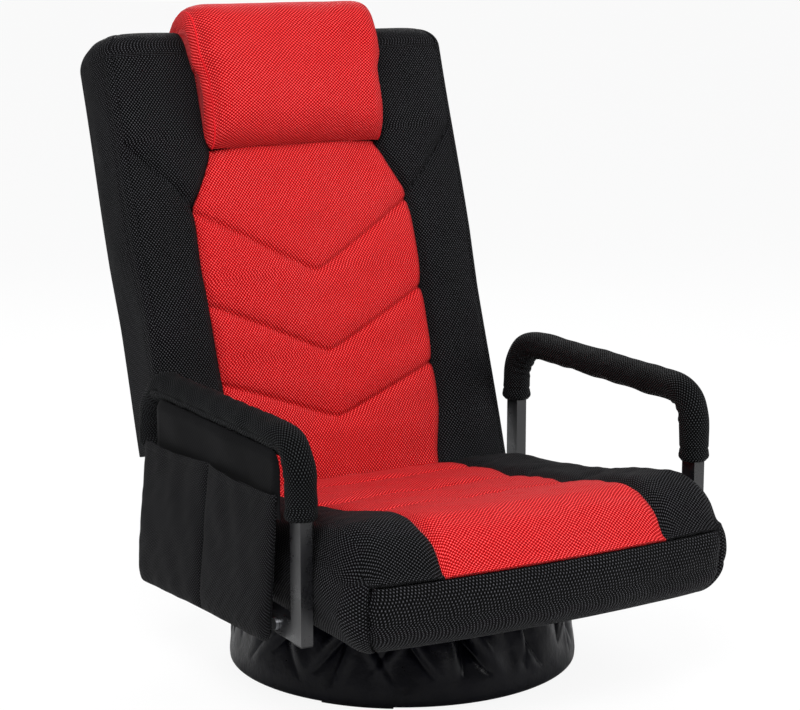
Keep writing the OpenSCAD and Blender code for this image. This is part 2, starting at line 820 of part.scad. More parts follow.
module back_body() {
    color("#18181a") on_back() loft([for (v = back_vs) back_ring(v)]);
}

// Red centre panel: crowned, with three sewn chevrons
panel_u_shares = [0, 0.25, 0.5, 0.75, 0.92, 1];
function chevron_dip(u, v) = max([for (c = chevrons)
    dip(v, c[0] + (c[1] - c[0]) * abs(u) / chevron_half, chevron_width)]);
function panel_front(u, v) =
    let (k = u / panel_half(v), rise = min(1, max(0, v / panel_rise_v)))
    back_front(v) - panel_crown * rise * (1 - pow(k, 4)) + chevron_depth * chevron_dip(u, v)
        + panel_edge_dip * pow(k, 8);
function panel_ring(v) =
    let (p = panel_half(v) - soft_gap,
        half = [for (k = panel_u_shares) [p * k, panel_front(p * k, v)]])
    [for (q = concat([for (i = [len(half) - 1 : -1 : 1]) [-half[i][0], half[i][1]]], half,
        [[p, back_front(v) + recess], [-p, back_front(v) + recess]])) [q[0], q[1], v]];
panel_pitch = 9;
panel_vs = concat(roll_vs, [0, 20, 40, panel_rise_v], [for (v = [notch_v - panel_pitch : panel_pitch : back_len - 185]) v],
    [for (d = [179, 169, 160]) back_len - d], [crease_v - soft_gap]);

module back_centre_pad() {
    color("#d8202c") on_back() loft([for (v = panel_vs) panel_ring(v)]);
}

// Headrest: a bolster sewn on at the crease that wraps over the top of the back
head_out_shares = [[0, 0.05], [0.016, 0.28], [0.047, 0.5], [0.109, 0.74], [0.197, 0.9], [0.326, 0.98], [0.585, 1],
    [0.741, 0.98], [0.855, 0.88], [0.927, 0.7], [0.974, 0.45], [1, 0.15]];
head_rear_w = 68;
head_side_w = 12;
head_lap = 0.5;
head_swell = 3;
head_round = 44;
head_plan_share = 0.6;
head_back_share = 0.7;
head_low_shares = [0, 0.016, 0.047, 0.109, 0.197, 0.326];
head_high_shares = [0.01, 0.3, 0.6, 0.825, 0.95, 1];
head_vs = concat([for (k = head_low_shares) crease_v + k * head_len], [for (d = top_drops) back_len - d],
    [for (k = head_high_shares) back_len + k * head_over]);
function head_ring(v) =
    let (o = head_out * lookup((v - crease_v) / head_len, head_out_shares), over_top = v > back_len,
        fall = over_top ? round_in(v - back_len, head_round) : 0,
        p = panel_half(v) - soft_gap - fall * head_plan_share,
        rear = over_top ? head_rear_w - fall * head_back_share : back_front(v) + recess,
        side = v < back_len ? back_front(v) - head_lap : head_side_w,
        half = [[0, -o], [p * 0.5, -o * 0.99], [p * 0.8, -o * 0.93], [p * 0.94, -o * 0.8], [p + head_swell, -o * 0.55],
            [p + head_swell, -o * 0.25], [p, side], [p, rear]])
    [for (q = concat([for (i = [len(half) - 1 : -1 : 1]) [-half[i][0], half[i][1]]], half)) [q[0], q[1], v]];

module headrest() {
    color("#d8202c") on_back() loft([for (v = head_vs) head_ring(v)]);
}

rear_cover_t = 1.2;
module rear_cover() {
    color("#141416")
        on_back()
            translate([-back_cavity_u + soft_gap, leg_w + frame_r + strap_t, notch_v + over])
                cube([2 * (back_cavity_u - soft_gap), rear_cover_t, cavity_top_v - notch_v - 2 * over]);
}

// Armrest: outline in the side view, drawn in by an amount all round
module arm_2d(inset) {
    difference() {
        translate([-arm_front + inset, arm_bottom + inset])
            square([arm_front + arm_rear - 2 * inset, arm_top - arm_bottom - 2 * inset]);
        translate([-arm_front + inset, arm_top - inset]) corner_2d(arm_front_r - inset, 1);
        translate([arm_rear - inset, arm_top - inset]) corner_2d(arm_rear_r - inset, -1);
    }
}

// What a rounded upper corner leaves out of a square one
module corner_2d(r, side) {
    mirror([side < 0 ? 1 : 0, 0])
        difference() {
            translate([-over, -r]) square([r + over, r + over]);
            translate([r, -r]) circle(r);
        }
}

module armrest_frame() {
    color("#2c2c30")
        difference() {
            side_plate(arm_x - arm_tube_x / 2, arm_tube_x)
                difference() {
                    arm_2d(0);
                    arm_2d(arm_tube_y);
                }
            side_plate(arm_x - arm_tube_x / 2 + arm_wall, arm_tube_x - 2 * arm_wall)
                difference() {
                    arm_2d(arm_wall);
                    arm_2d(arm_tube_y - arm_wall);
                }
            for (y = arm_bolt_y)
                rod([arm_x - arm_tube_x, y, rail_z], [arm_x + arm_tube_x, y, rail_z], arm_bolt_r + pin_gap);
        }
}

module armrest_frame_left() {
    armrest_frame();
}

module armrest_frame_right() {
    mirror([1, 0, 0]) armrest_frame();
}

// Section of the padded sleeve round the flat tube
module sleeve_2d() {
    difference() {
        circle(sleeve_r);
        square([arm_tube_x, arm_tube_y], center = true);
    }
}

module sleeve_bend(r) {
    rotate_extrude(angle = 90, $fn = 96) translate([r, 0]) rotate(90) sleeve_2d();
}

module armrest_sleeve() {
    h = arm_tube_y / 2;
    front_r = arm_front_r - h;
    rear_r = arm_rear_r - h;
    color("#18181a")
        translate([arm_x, 0, 0]) {
            translate([0, -arm_front + h, sleeve_end_z])
                linear_extrude(arm_top - arm_front_r - sleeve_end_z) sleeve_2d();
            translate([0, arm_rear - h, sleeve_end_z])
                linear_extrude(arm_top - arm_rear_r - sleeve_end_z) sleeve_2d();
            translate([0, arm_rear - arm_rear_r, arm_top - h])
                rotate([90, 0, 0]) linear_extrude(arm_front + arm_rear - arm_front_r - arm_rear_r) sleeve_2d();
            translate([0, -arm_front + arm_front_r, arm_top - arm_front_r])
                rotate([90, 0, 90]) rotate([0, 0, 90]) sleeve_bend(front_r);
            translate([0, arm_rear - arm_rear_r, arm_top - arm_rear_r])
                rotate([90, 0, 90]) sleeve_bend(rear_r);
        }
}

module armrest_sleeve_left() {
    armrest_sleeve();
}

module armrest_sleeve_right() {
    mirror([1, 0, 0]) armrest_sleeve();
}

module armrest_spacers() {
    color("#8c8f94")
        for (s = [-1, 1]) for (y = arm_bolt_y) {
            difference() {
                rod([s * (rail_half + frame_r), y, rail_z], [s * (arm_x - arm_tube_x / 2), y, rail_z], spacer_r);
                rod([s * rail_half, y, rail_z], [s * arm_x, y, rail_z], arm_bolt_r + pin_gap);
            }
        }
}

module armrest_bolts() {
    color("#2c2c30")
        for (s = [-1, 1]) for (y = arm_bolt_y) {
            face = arm_x + arm_tube_x / 2;
            inner = rail_half - frame_r;
            rod([s * inner, y, rail_z], [s * face, y, rail_z], arm_bolt_r);
            rod([s * face, y, rail_z], [s * (face + arm_head_t), y, rail_z], arm_head_r);
            rod([s * (inner - nut_h), y, rail_z], [s * inner, y, rail_z], arm_head_r);
        }
}

// Glide plates under the front and rear corners of the bottom rails
foot_plate_t = 1.5;
foot_plate_l = 22;
module armrest_foot_plates() {
    color("#202022")
        for (s = [-1, 1]) for (y = [-arm_front, arm_rear - foot_plate_l])
            translate([s * arm_x - arm_tube_x / 2, y, arm_bottom - foot_plate_t])
                cube([arm_tube_x, foot_plate_l, foot_plate_t]);
}

// Side pocket: a smooth back panel with two mesh pouches outside it
panel_off = 7.9;
panel_x = arm_x + arm_tube_x / 2 + panel_off;
panel_t = 1.6;
backing_t = 2;
pouch_x = panel_x + panel_t + backing_t;
pouch_mouth_depth = 7;
pouch_base_depth = 12;
pouch_wall = 1.5;
pouch_corner = 14;
panel_top_z = arm_top - arm_tube_y / 2 - sqrt(pow(sleeve_r, 2) - pow(panel_x - arm_x, 2)) - soft_gap;
panel_front_y = -226;
panel_rear_y = 104;
panel_corner = 20;
panel_tuck = 3;
// Places of the pockets' front edge, middle seam and rear edge, at the mouth and at the base
mouth_at = [[-222, 295.5], [-53, 296.5], [127, 287.5]];
base_at = [[-203, 117.5], [-25, 110], [158, 98]];

// Part of the pocket between two of its edges in the side view, drawn in by an amount
module pouch_2d(i, j, inset, rise, corner_i, corner_j) {
    away = [inset, 0];
    polygon([mouth_at[i] + away + [0, rise], mouth_at[j] - away + [0, rise],
        base_at[j] - away + [0, corner_j + inset], base_at[j] - away - [corner_j, -inset],
        base_at[i] + away + [corner_i, inset], base_at[i] + away + [0, corner_i + inset]]);
}

// Wedge that is thin at the mouth and deep at the base
module pouch_wedge(inset) {
    translate([0, arm_rear + over, 0]) rotate([90, 0, 0]) linear_extrude(arm_front + arm_rear)
        polygon([[pouch_x - over, base_at[2][1] - over], [pouch_x + pouch_base_depth - inset, base_at[2][1] - over],
            [pouch_x + pouch_mouth_depth - inset, mouth_at[1][1] + over], [pouch_x - over, mouth_at[1][1] + over]]);
}

module pouch(i, j, corner_i, corner_j) {
    color("#1a1a1c")
        mirror([1, 0, 0])
            difference() {
                intersection() {
                    side_plate(pouch_x, pouch_base_depth) pouch_2d(i, j, 0, 0, corner_i, corner_j);
                    pouch_wedge(0);
                }
                intersection() {
                    side_plate(pouch_x - over, pouch_base_depth) pouch_2d(i, j, pouch_wall, over, corner_i, corner_j);
                    pouch_wedge(pouch_wall);
                }
            }
}

module pocket_pouch_front() {
    pouch(0, 1, pouch_corner, pouch_wall);
}

module pocket_pouch_rear() {
    translate([0, thin, 0]) pouch(1, 2, pouch_wall, pouch_corner);
}

module pocket_panel() {
    color("#161618")
        mirror([1, 0, 0]) {
            side_plate(panel_x, panel_t)
                polygon([[panel_front_y, mouth_at[0][1]], [panel_front_y, panel_top_z - panel_corner],
                    [panel_front_y + panel_corner, panel_top_z], [panel_rear_y - panel_corner, panel_top_z],
                    [panel_rear_y, panel_top_z - panel_corner], [panel_rear_y, sleeve_end_z - panel_tuck],
                    [mouth_at[0][0] + panel_tuck, sleeve_end_z - panel_tuck]]);
            side_plate(panel_x + panel_t, backing_t) pouch_2d(0, 2, 0, -panel_tuck, pouch_corner, pouch_corner);
        }
}

floor_pads();
base_ring();
base_legs();
lower_swivel_plate();
ball_cage();
bearing_balls();
dust_cover();
swivel_rivet();
upper_swivel_plate();
plate_bolts();
bottom_cover();
seat_frame();
rear_cross_tube();
seat_webbing();
seat_body();
seat_centre_pad();
seat_bolster_left();
seat_bolster_right();
hinge_bracket_left();
hinge_bracket_right();
hinge_pins();
pawl_pins();
pawl_left();
pawl_right();
ratchet_arm_left();
ratchet_arm_right();
back_frame();
back_webbing();
back_body();
back_centre_pad();
headrest();
rear_cover();
armrest_frame_left();
armrest_frame_right();
armrest_sleeve_left();
armrest_sleeve_right();
armrest_spacers();
armrest_bolts();
armrest_foot_plates();
pocket_panel();
pocket_pouch_front();
pocket_pouch_rear();
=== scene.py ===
"""The looks of a swivel floor chair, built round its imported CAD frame."""
import json
import math

import bmesh
import bpy
import numpy as np
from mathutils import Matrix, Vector


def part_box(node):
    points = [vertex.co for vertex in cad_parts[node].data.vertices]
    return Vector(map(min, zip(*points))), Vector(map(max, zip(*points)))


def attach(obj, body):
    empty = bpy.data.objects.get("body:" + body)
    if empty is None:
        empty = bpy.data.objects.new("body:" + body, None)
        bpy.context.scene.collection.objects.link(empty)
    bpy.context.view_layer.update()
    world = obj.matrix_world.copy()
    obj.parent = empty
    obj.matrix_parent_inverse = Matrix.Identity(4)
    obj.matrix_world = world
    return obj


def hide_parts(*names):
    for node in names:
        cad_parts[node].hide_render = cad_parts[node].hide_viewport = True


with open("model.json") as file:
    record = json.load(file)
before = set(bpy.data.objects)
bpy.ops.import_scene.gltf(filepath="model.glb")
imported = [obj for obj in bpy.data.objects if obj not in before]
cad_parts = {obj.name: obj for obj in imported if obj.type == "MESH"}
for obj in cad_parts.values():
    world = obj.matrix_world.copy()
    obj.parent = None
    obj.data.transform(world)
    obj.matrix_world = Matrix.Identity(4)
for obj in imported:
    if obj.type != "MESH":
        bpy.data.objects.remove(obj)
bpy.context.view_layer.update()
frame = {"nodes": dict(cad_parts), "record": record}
MM = 0.001

# Driving sizes of the chair, in millimetres, as the frame has them
SEAT_HALF, SEAT_FRONT, SEAT_REAR = 252.0, 360.0, 132.5
SEAM_FRONT_Z, SEAM_REAR_Z, SEAT_CREST_Z, SEAT_LOW_Z = 211.0, 180.0, 268.0, 199.0
PANEL_HALF = 150.0
FRONT_BULGE = 17.0
SEAT_BOTTOM_Z = 126.3
LEAN = math.radians(18.6)
BACK_FOOT = np.array([0.0, 140.1, 198.9])
BACK_T, BACK_HALF, BACK_LEN = 100.0, 252.0, 600.0
CREASE_V, HEAD_TOP_V, HEAD_OUT = 447.0, 640.0, 54.0
PIVOT_V = -10.0
RECESS = 14.0


def linear(hex_code):
    """A display colour as linear light."""
    parts = [int(hex_code[i:i + 2], 16) / 255 for i in (0, 2, 4)]
    return [(c / 12.92 if c <= 0.04045 else ((c + 0.055) / 1.055) ** 2.4) for c in parts] + [1.0]


def lighter(colour, times):
    """A linear colour made lighter or darker."""
    return [min(1.0, c * times) for c in colour[:3]] + [1.0]


# Materials

class Nodes:
    """Short way to add and join shader nodes."""

    def __init__(self, name):
        self.mat = bpy.data.materials.new(name)
        self.mat.use_nodes = True
        self.tree = self.mat.node_tree
        self.shader = self.tree.nodes["Principled BSDF"]

    def add(self, kind, **settings):
        node = self.tree.nodes.new(kind)
        for key, value in settings.items():
            setattr(node, key, value)
        return node

    def join(self, a, b):
        self.tree.links.new(a, b)

    def math(self, op, a, b=None):
        node = self.add("ShaderNodeMath", operation=op)
        for socket, value in zip(node.inputs, (a, b)):
            if value is None:
                continue
            if isinstance(value, (int, float)):
                socket.default_value = value
            else:
                self.join(value, socket)
        return node.outputs[0]

    def vector(self, op, a, b=None, scale=None):
        node = self.add("ShaderNodeVectorMath", operation=op)
        self.join(a, node.inputs[0])
        if b is not None:
            if isinstance(b, tuple):
                node.inputs[1].default_value = b
            else:
                self.join(b, node.inputs[1])
        if scale is not None:
            node.inputs["Scale"].default_value = scale
        return node.outputs["Value"] if op in ("LENGTH", "DISTANCE") else node.outputs[0]

    def ramp(self, value, low, high, to_low=0.0, to_high=1.0):
        node = self.add("ShaderNodeMapRange", interpolation_type="SMOOTHSTEP")
        self.join(value, node.inputs["Value"])
        for key, number in (("From Min", low), ("From Max", high), ("To Min", to_low), ("To Max", to_high)):
            node.inputs[key].default_value = number
        return node.outputs["Result"]

    def mix(self, share, a, b):
        node = self.add("ShaderNodeMix", data_type="RGBA")
        self.join(share, node.inputs[0])
        for socket, value in ((node.inputs[6], a), (node.inputs[7], b)):
            if isinstance(value, (list, tuple)):
                socket.default_value = value
            else:
                self.join(value, socket)
        return node.outputs[2]

    def noise(self, where, scale, detail=3.0, rough=0.55):
        node = self.add("ShaderNodeTexNoise")
        self.join(where, node.inputs["Vector"])
        node.inputs["Scale"].default_value = scale
        node.inputs["Detail"].default_value = detail
        node.inputs["Roughness"].default_value = rough
        return node.outputs["Fac"]

    def bump(self, height, distance, strength=1.0, under=None):
        node = self.add("ShaderNodeBump")
        node.inputs["Distance"].default_value = distance
        node.inputs["Strength"].default_value = strength
        self.join(height, node.inputs["Height"])
        if under is not None:
            self.join(under, node.inputs["Normal"])
        return node.outputs["Normal"]

    def place(self):
        return self.add("ShaderNodeTexCoord").outputs["Object"]

    def cloth(self):
        return self.add("ShaderNodeAttribute", attribute_name="cloth").outputs["Vector"]


def mesh_cloth(name, painted_hole_shade, yarn, painted_highlight, pitch, rows, size=0.26, rough=0.62, depth=0.0005, gloss=0.2):
    """Air mesh: staggered rows of round holes painted dark as shade, with a painted highlight on the knot of yarn
    between them.
    """
    n = Nodes(name)
    wobble = n.add("ShaderNodeTexNoise")
    wobble.inputs["Scale"].default_value = 60.0
    n.join(n.cloth(), wobble.inputs["Vector"])
    shift = n.vector("SCALE", n.vector("SUBTRACT", wobble.outputs["Color"], (0.5, 0.5, 0.5)), scale=0.55)
    flat = n.vector("ADD", n.vector("MULTIPLY", n.cloth(), (1 / pitch, 0.5 / rows, 0.0)), shift)
    squash = 2 * rows / pitch

    def nearest(offsets, stretch):
        found = []
        for offset in offsets:
            cell = n.vector("FRACTION", n.vector("ADD", flat, offset))
            centred = n.vector("MULTIPLY", n.vector("SUBTRACT", cell, (0.5, 0.5, 0.0)), (1.0, squash * stretch, 0.0))
            found.append(n.vector("LENGTH", centred))
        return n.math("MINIMUM", found[0], found[1])

    holes = nearest(((0.0, 0.0, 0.0), (0.5, 0.5, 0.0)), 0.95)
    knots = nearest(((0.5, 0.0, 0.0), (0.0, 0.5, 0.0)), 1.5)
    fibre = n.noise(n.cloth(), 1500.0, 2.0, 0.7)
    broad = n.noise(n.place(), 7.0, 3.0, 0.5)
    # Painted highlight on the knots of yarn, stronger and weaker in broad patches.
    bright = n.math("MULTIPLY", n.ramp(knots, size * 1.15, size * 0.2), n.ramp(broad, 0.3, 0.7, 0.75, 1.0))
    tone = n.mix(n.ramp(fibre, 0.3, 0.7, 0.0, 0.35), yarn, lighter(yarn, 0.55))
    tone = n.mix(bright, tone, painted_highlight)
    body = n.ramp(holes, size * 0.75, size * 1.3)
    # Painted shade fills the holes.
    n.join(n.mix(body, painted_hole_shade, tone), n.shader.inputs["Base Color"])
    n.join(n.ramp(body, 0.0, 1.0, 0.95, rough), n.shader.inputs["Roughness"])
    height = n.math("ADD", body, n.math("MULTIPLY", bright, 0.6))
    n.join(n.bump(height, depth), n.shader.inputs["Normal"])
    n.shader.inputs["Specular IOR Level"].default_value = gloss
    n.shader.inputs["Sheen Weight"].default_value = 0.01
    n.shader.inputs["Sheen Roughness"].default_value = 0.4
    return n.mat


def plain_cloth(name, colour, scale=1400.0, rough=0.7, sheen=0.02, gloss=0.12):
    """Smooth close-woven cloth."""
    n = Nodes(name)
    flat = n.vector("SCALE", n.cloth(), scale=scale)
    parts = n.add("ShaderNodeSeparateXYZ")
    n.join(flat, parts.inputs[0])
    warp = n.math("SINE", parts.outputs[0])
    weft = n.math("SINE", parts.outputs[1])
    weave = n.math("MULTIPLY", warp, weft)
    broad = n.noise(n.place(), 14.0)
    n.join(n.mix(n.ramp(broad, 0.3, 0.7), colour, lighter(colour, 1.7)), n.shader.inputs["Base Color"])
    n.join(n.bump(weave, 0.00012, 0.8), n.shader.inputs["Normal"])
    n.shader.inputs["Roughness"].default_value = rough
    n.shader.inputs["Specular IOR Level"].default_value = gloss
    n.shader.inputs["Sheen Weight"].default_value = sheen
    return n.mat


def coated_cloth(name, colour):
    """Thin coated polyester with a soft gloss and fine creases, their raised side painted lighter as a painted
    highlight.
    """
    n = Nodes(name)
    where = n.place()
    crease = n.noise(where, 28.0, 5.0, 0.6)
    fine = n.noise(where, 160.0, 3.0, 0.6)
    n.join(n.ramp(crease, 0.3, 0.7, 0.26, 0.42), n.shader.inputs["Roughness"])
    # Painted highlight: the colour turns lighter where the creases rise.
    n.join(n.mix(n.ramp(crease, 0.35, 0.65), colour, lighter(colour, 1.5)), n.shader.inputs["Base Color"])
    under = n.bump(crease, 0.004, 0.5)
    n.join(n.bump(fine, 0.0004, 0.5, under), n.shader.inputs["Normal"])
    n.shader.inputs["Specular IOR Level"].default_value = 0.13
    n.shader.inputs["Coat Weight"].default_value = 0.02
    n.shader.inputs["Coat Roughness"].default_value = 0.25
    return n.mat


def metal(name, colour, metallic, rough):
    """Paint, plating, nylon or rubber with a fine orange-peel and broad patches."""
    n = Nodes(name)
    where = n.place()
    peel = n.noise(where, 900.0, 2.0)
    patch = n.noise(where, 60.0, 4.0)
    n.join(n.mix(n.ramp(patch, 0.4, 0.75), colour, lighter(colour, 1.3)), n.shader.inputs["Base Color"])
    n.join(n.ramp(patch, 0.3, 0.7, rough * 0.85, rough * 1.2), n.shader.inputs["Roughness"])
    n.join(n.bump(peel, 0.00008, 0.6), n.shader.inputs["Normal"])
    n.shader.inputs["Metallic"].default_value = metallic
    return n.mat


# Each air mesh: painted shade in its holes, its yarn, then a painted highlight on its knots.
MAT = {
    "red_mesh": mesh_cloth("red_air_mesh", linear("800003"), linear("E20B10"), linear("FF6668"), 0.0042, 0.0025,
                           0.3, gloss=0.12),
    "black_mesh": mesh_cloth("black_air_mesh", linear("000000"), linear("09090A"), linear("4C4C50"), 0.0042, 0.0025,
                             gloss=0.05),
    "sleeve_mesh": mesh_cloth("sleeve_air_mesh", linear("000000"), linear("070708"), linear("3E4042"), 0.0038, 0.0023,
                              gloss=0.04),
    "pocket_mesh": mesh_cloth("pocket_air_mesh", linear("020202"), linear("080809"), linear("464649"), 0.0035, 0.0022,
                              gloss=0.04),
    "pocket_cloth": plain_cloth("pocket_lining", linear("060607"), rough=0.75, gloss=0.03),
    "skirt_cloth": coated_cloth("cover_polyester", linear("020207")),
    "under_cloth": plain_cloth("under_cloth", linear("0E0E0F"), 700.0),
    "webbing": plain_cloth("webbing_cloth", linear("161618"), 500.0),
    "frame_steel": metal("black_powder_coat", linear("101012"), 0.0, 0.3),
    "bright_steel": metal("zinc_plate", linear("9A9CA0"), 1.0, 0.34),
    "cage_nylon": metal("nylon", linear("CFC9B4"), 0.0, 0.5),
    "pad_rubber": metal("pad_rubber", linear("111112"), 0.0, 0.8),
    "red_thread": plain_cloth("red_thread", linear("B0141C"), 3000.0),
    "black_thread": plain_cloth("black_thread", linear("0C0C0D"), 3000.0),
}


def dress_cad():
    """Gives each CAD node that stays in view its material."""
    slots = {s["node"]: s["material_slot"] for s in frame["record"]["subparts"]}
    for name, obj in frame["nodes"].items():
        obj.data.materials.clear()
        obj.data.materials.append(MAT.get(slots[name], MAT["pocket_cloth"]))


# Mesh helpers

def arc_lengths(points, axis):
    """Running length along one axis of a grid of points, in metres."""
    step = np.linalg.norm(np.diff(points, axis=axis), axis=2)
    pad = [(0, 0), (0, 0)]
    pad[axis] = (1, 0)
    return np.pad(np.cumsum(step, axis=axis), pad)


def smooth_faces(mesh):
    for poly in mesh.polygons:
        poly.use_smooth = True


def grid_mesh(name, points, material, closed_ring=True, caps=True, flip=False):
    """A mesh through rings of points (rings, points in a ring, 3), in millimetres."""
    p = np.asarray(points, float) * MM
    m, n = p.shape[:2]
    faces = []
    last = n if closed_ring else n - 1
    for i in range(m - 1):
        for j in range(last):
            k = (j + 1) % n
            quad = (i * n + j, i * n + k, (i + 1) * n + k, (i + 1) * n + j)
            faces.append(quad[::-1] if flip else quad)
    if caps and closed_ring:
        ends = [tuple(range(n))[::-1], tuple((m - 1) * n + j for j in range(n))]
        faces += [e[::-1] if flip else e for e in ends]
    mesh = bpy.data.meshes.new(name)
    mesh.from_pydata(p.reshape(-1, 3).tolist(), [], faces)
    mesh.update()
    across = arc_lengths(p, 1)
    along = arc_lengths(p, 0)
    across = across - across[:, n // 2:n // 2 + 1]
    along = np.repeat(along.mean(axis=1, keepdims=True), n, axis=1)
    coords = np.stack([across, along, np.zeros_like(along)], axis=2).reshape(-1, 3)
    layer = mesh.attributes.new("cloth", "FLOAT_VECTOR", "POINT")
    layer.data.foreach_set("vector", coords.astype(np.float32).ravel())
    smooth_faces(mesh)
    mesh.materials.append(material)
    obj = bpy.data.objects.new(name, mesh)
    bpy.context.scene.collection.objects.link(obj)
    return obj


def face_out(obj):
    """Turns the faces of a closed mesh outwards."""
    bm = bmesh.new()
    bm.from_mesh(obj.data)
    bmesh.ops.recalc_face_normals(bm, faces=bm.faces)
    bm.to_mesh(obj.data)
    bm.free()
    return obj


def finish_piece(obj, body, nodes=()):
    """Says which body a piece rides and hides the nodes that it stands for."""
    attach(obj, body)
    if nodes:
        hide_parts(*nodes)


def tube(name, path, radius, material, sides=8):
    """A thin round piece, such as thread or piping, along a path in millimetres."""
    p = np.asarray(path, float)
    way = np.vstack([p[1:], p[-1:] * 2 - p[-2:-1]]) - np.vstack([p[:1] * 2 - p[1:2], p[:-1]])
    way /= np.linalg.norm(way, axis=1, keepdims=True) + 1e-9
    guide = np.array([0.0, 0.0, 1.0]) if abs(way[:, 2]).mean() < 0.7 else np.array([1.0, 0.0, 0.0])
    side = np.cross(way, guide)
    side /= np.linalg.norm(side, axis=1, keepdims=True) + 1e-9
    up = np.cross(side, way)
    angles = np.linspace(0, 2 * np.pi, sides, endpoint=False)
    rings = p[:, None, :] + radius * (np.cos(angles)[None, :, None] * side[:, None, :]
                                      + np.sin(angles)[None, :, None] * up[:, None, :])
    return face_out(grid_mesh(name, rings, material))


def running_length(line):
    """Length along a line of points, from its first one."""
    return np.concatenate([[0], np.cumsum(np.linalg.norm(np.diff(line, axis=0), axis=1))])


def gauss(x, at, width):
    """A bell of height 1."""
    return np.exp(-((x - at) / width) ** 2)


def dip(x, at, size):
    """A stitched line or a valley, with its size given as its depth and width."""
    depth, width = size
    return depth * gauss(x, at, width)


def ease(x, low, high):
    """0 up to low, 1 from high, and straight between."""
    return np.clip((x - low) / (high - low), 0, 1)


def round_in(d, r):
    """How far a rounding of radius r draws the surface in, a distance d after its start."""
    return r - np.sqrt(np.maximum(0, r * r - np.minimum(d, r) ** 2))


def smooth_lookup(x, xs, ys):
    """Monotone cubic through a table of points."""
    xs, ys = np.asarray(xs, float), np.asarray(ys, float)
    h = np.diff(xs)
    d = np.diff(ys) / h
    m = np.zeros_like(ys)
    same = d[:-1] * d[1:] > 0
    w1, w2 = 2 * h[1:] + h[:-1], h[1:] + 2 * h[:-1]
    safe = np.where(same, w1 / np.where(same, d[:-1], 1) + w2 / np.where(same, d[1:], 1), 1)
    m[1:-1] = np.where(same, (w1 + w2) / safe, 0)
    m[0], m[-1] = d[0], d[-1]
    x = np.clip(np.asarray(x, float), xs[0], xs[-1])
    i = np.clip(np.searchsorted(xs, x, side="right") - 1, 0, len(h) - 1)
    t = (x - xs[i]) / h[i]
    a, b = ys[i], ys[i + 1]
    return ((2 * t ** 3 - 3 * t ** 2 + 1) * a + (t ** 3 - 2 * t ** 2 + t) * h[i] * m[i]
            + (-2 * t ** 3 + 3 * t ** 2) * b + (t ** 3 - t ** 2) * h[i] * m[i + 1])


def soft_noise(a, b, seed, scale_a, scale_b):
    """Smooth seeded waves over two coordinates, between about -1 and 1."""
    rng = np.random.default_rng(seed)
    out = np.zeros(np.broadcast(a, b).shape)
    for o in range(2):
        for _ in range(5):
            angle = rng.uniform(0, 2 * np.pi)
            fa, fb = np.cos(angle) / scale_a, np.sin(angle) / scale_b
            out += np.sin(2 * np.pi * (fa * a + fb * b) * (1.7 ** o) + rng.uniform(0, 6.3)) * 0.62 ** o / 3.2
    return out


# The seat's cushions: k runs from the seat's front edge (0) to its rear edge (1)

SEAT_K = [0, .018, .028, .045, .081, .142, .20, .262, .327, .394, .487, .579, .66, .755, .82, .877, .95, 1]
SEAT_RISE = [.23, .30, .44, .66, .87, 1, .96, .88, .78, .68, .56, .47, .39, .31, .27, .225, .14, .04]
CHANNELS = (0.394, 0.634, 0.86)
BOLSTER_AT = [0, .05, .2, .45, .68, .84, .94, .985, 1.0]
BOLSTER_RISE = [.9, .95, 1.04, 1.06, 1.02, .88, .66, .4, .26]
SEAT_LEN = 490.0
CHANNEL_STITCH, CHANNEL_VALLEY, CENTRE_EDGE = (5.5, 0.016), (3.5, 0.05), (5.5, 7.0)
FADE_WIDTH, FADE_SHARE = 62.0, 0.85
LIP_K, NOSE_K, TAIL_K = 0.03, 0.16, 0.985
CORNER_R = 34.0
GUSSET_X, GUSSET_T, GUSSET_TURN = 237.0, 4.5, 42.0
OUTLINE_STEP = 3.0
TUCK = 6.0
FOOT_R, FOOT_Z = 40.0, SEAT_BOTTOM_Z + 1.2


def seat_y(k, x):
    """Place along the seat, on the plan with its bulged front edge and round front corners."""
    corner = round_in(np.maximum(np.abs(x) - (SEAT_HALF - CORNER_R), 0), CORNER_R)
    front = SEAT_FRONT - FRONT_BULGE * (x / SEAT_HALF) ** 2 - corner
    return -front * (1 - k) + SEAT_REAR * k


def seam_z(y):
    """Height of the seam between the cushions and the seat's body."""
    return SEAM_FRONT_Z + (SEAM_REAR_Z - SEAM_FRONT_Z) * (y + SEAT_FRONT) / (SEAT_FRONT + SEAT_REAR)


def seat_top(k, x, share, channels):
    """Height of the seat's upper side, puffed between its stitched channels."""
    low = seam_z(seat_y(k, x))
    rise = smooth_lookup(k, SEAT_K, SEAT_RISE)
    body = SEAT_LOW_Z + (SEAT_CREST_Z - SEAT_LOW_Z) * rise - low
    z = low + body * share
    for c in CHANNELS:
        z = z - channels * (dip(k, c, CHANNEL_STITCH) + dip(k, c, CHANNEL_VALLEY))
    return z


def bolster_share(x):
    """Share of the seat's puff that a bolster has across its width."""
    return smooth_lookup((np.abs(x) - PANEL_HALF) / (SEAT_HALF - PANEL_HALF), BOLSTER_AT, BOLSTER_RISE)


def bolster_fade(x):
    """Depth of the channels on a bolster, which die out away from the centre."""
    return np.clip(1 - (np.abs(x) - PANEL_HALF) / FADE_WIDTH, 0, 1) * FADE_SHARE


def edge_dip(x):
    """The valley along the seam between the centre cushion and a bolster."""
    return dip(np.abs(x), PANEL_HALF, CENTRE_EDGE)


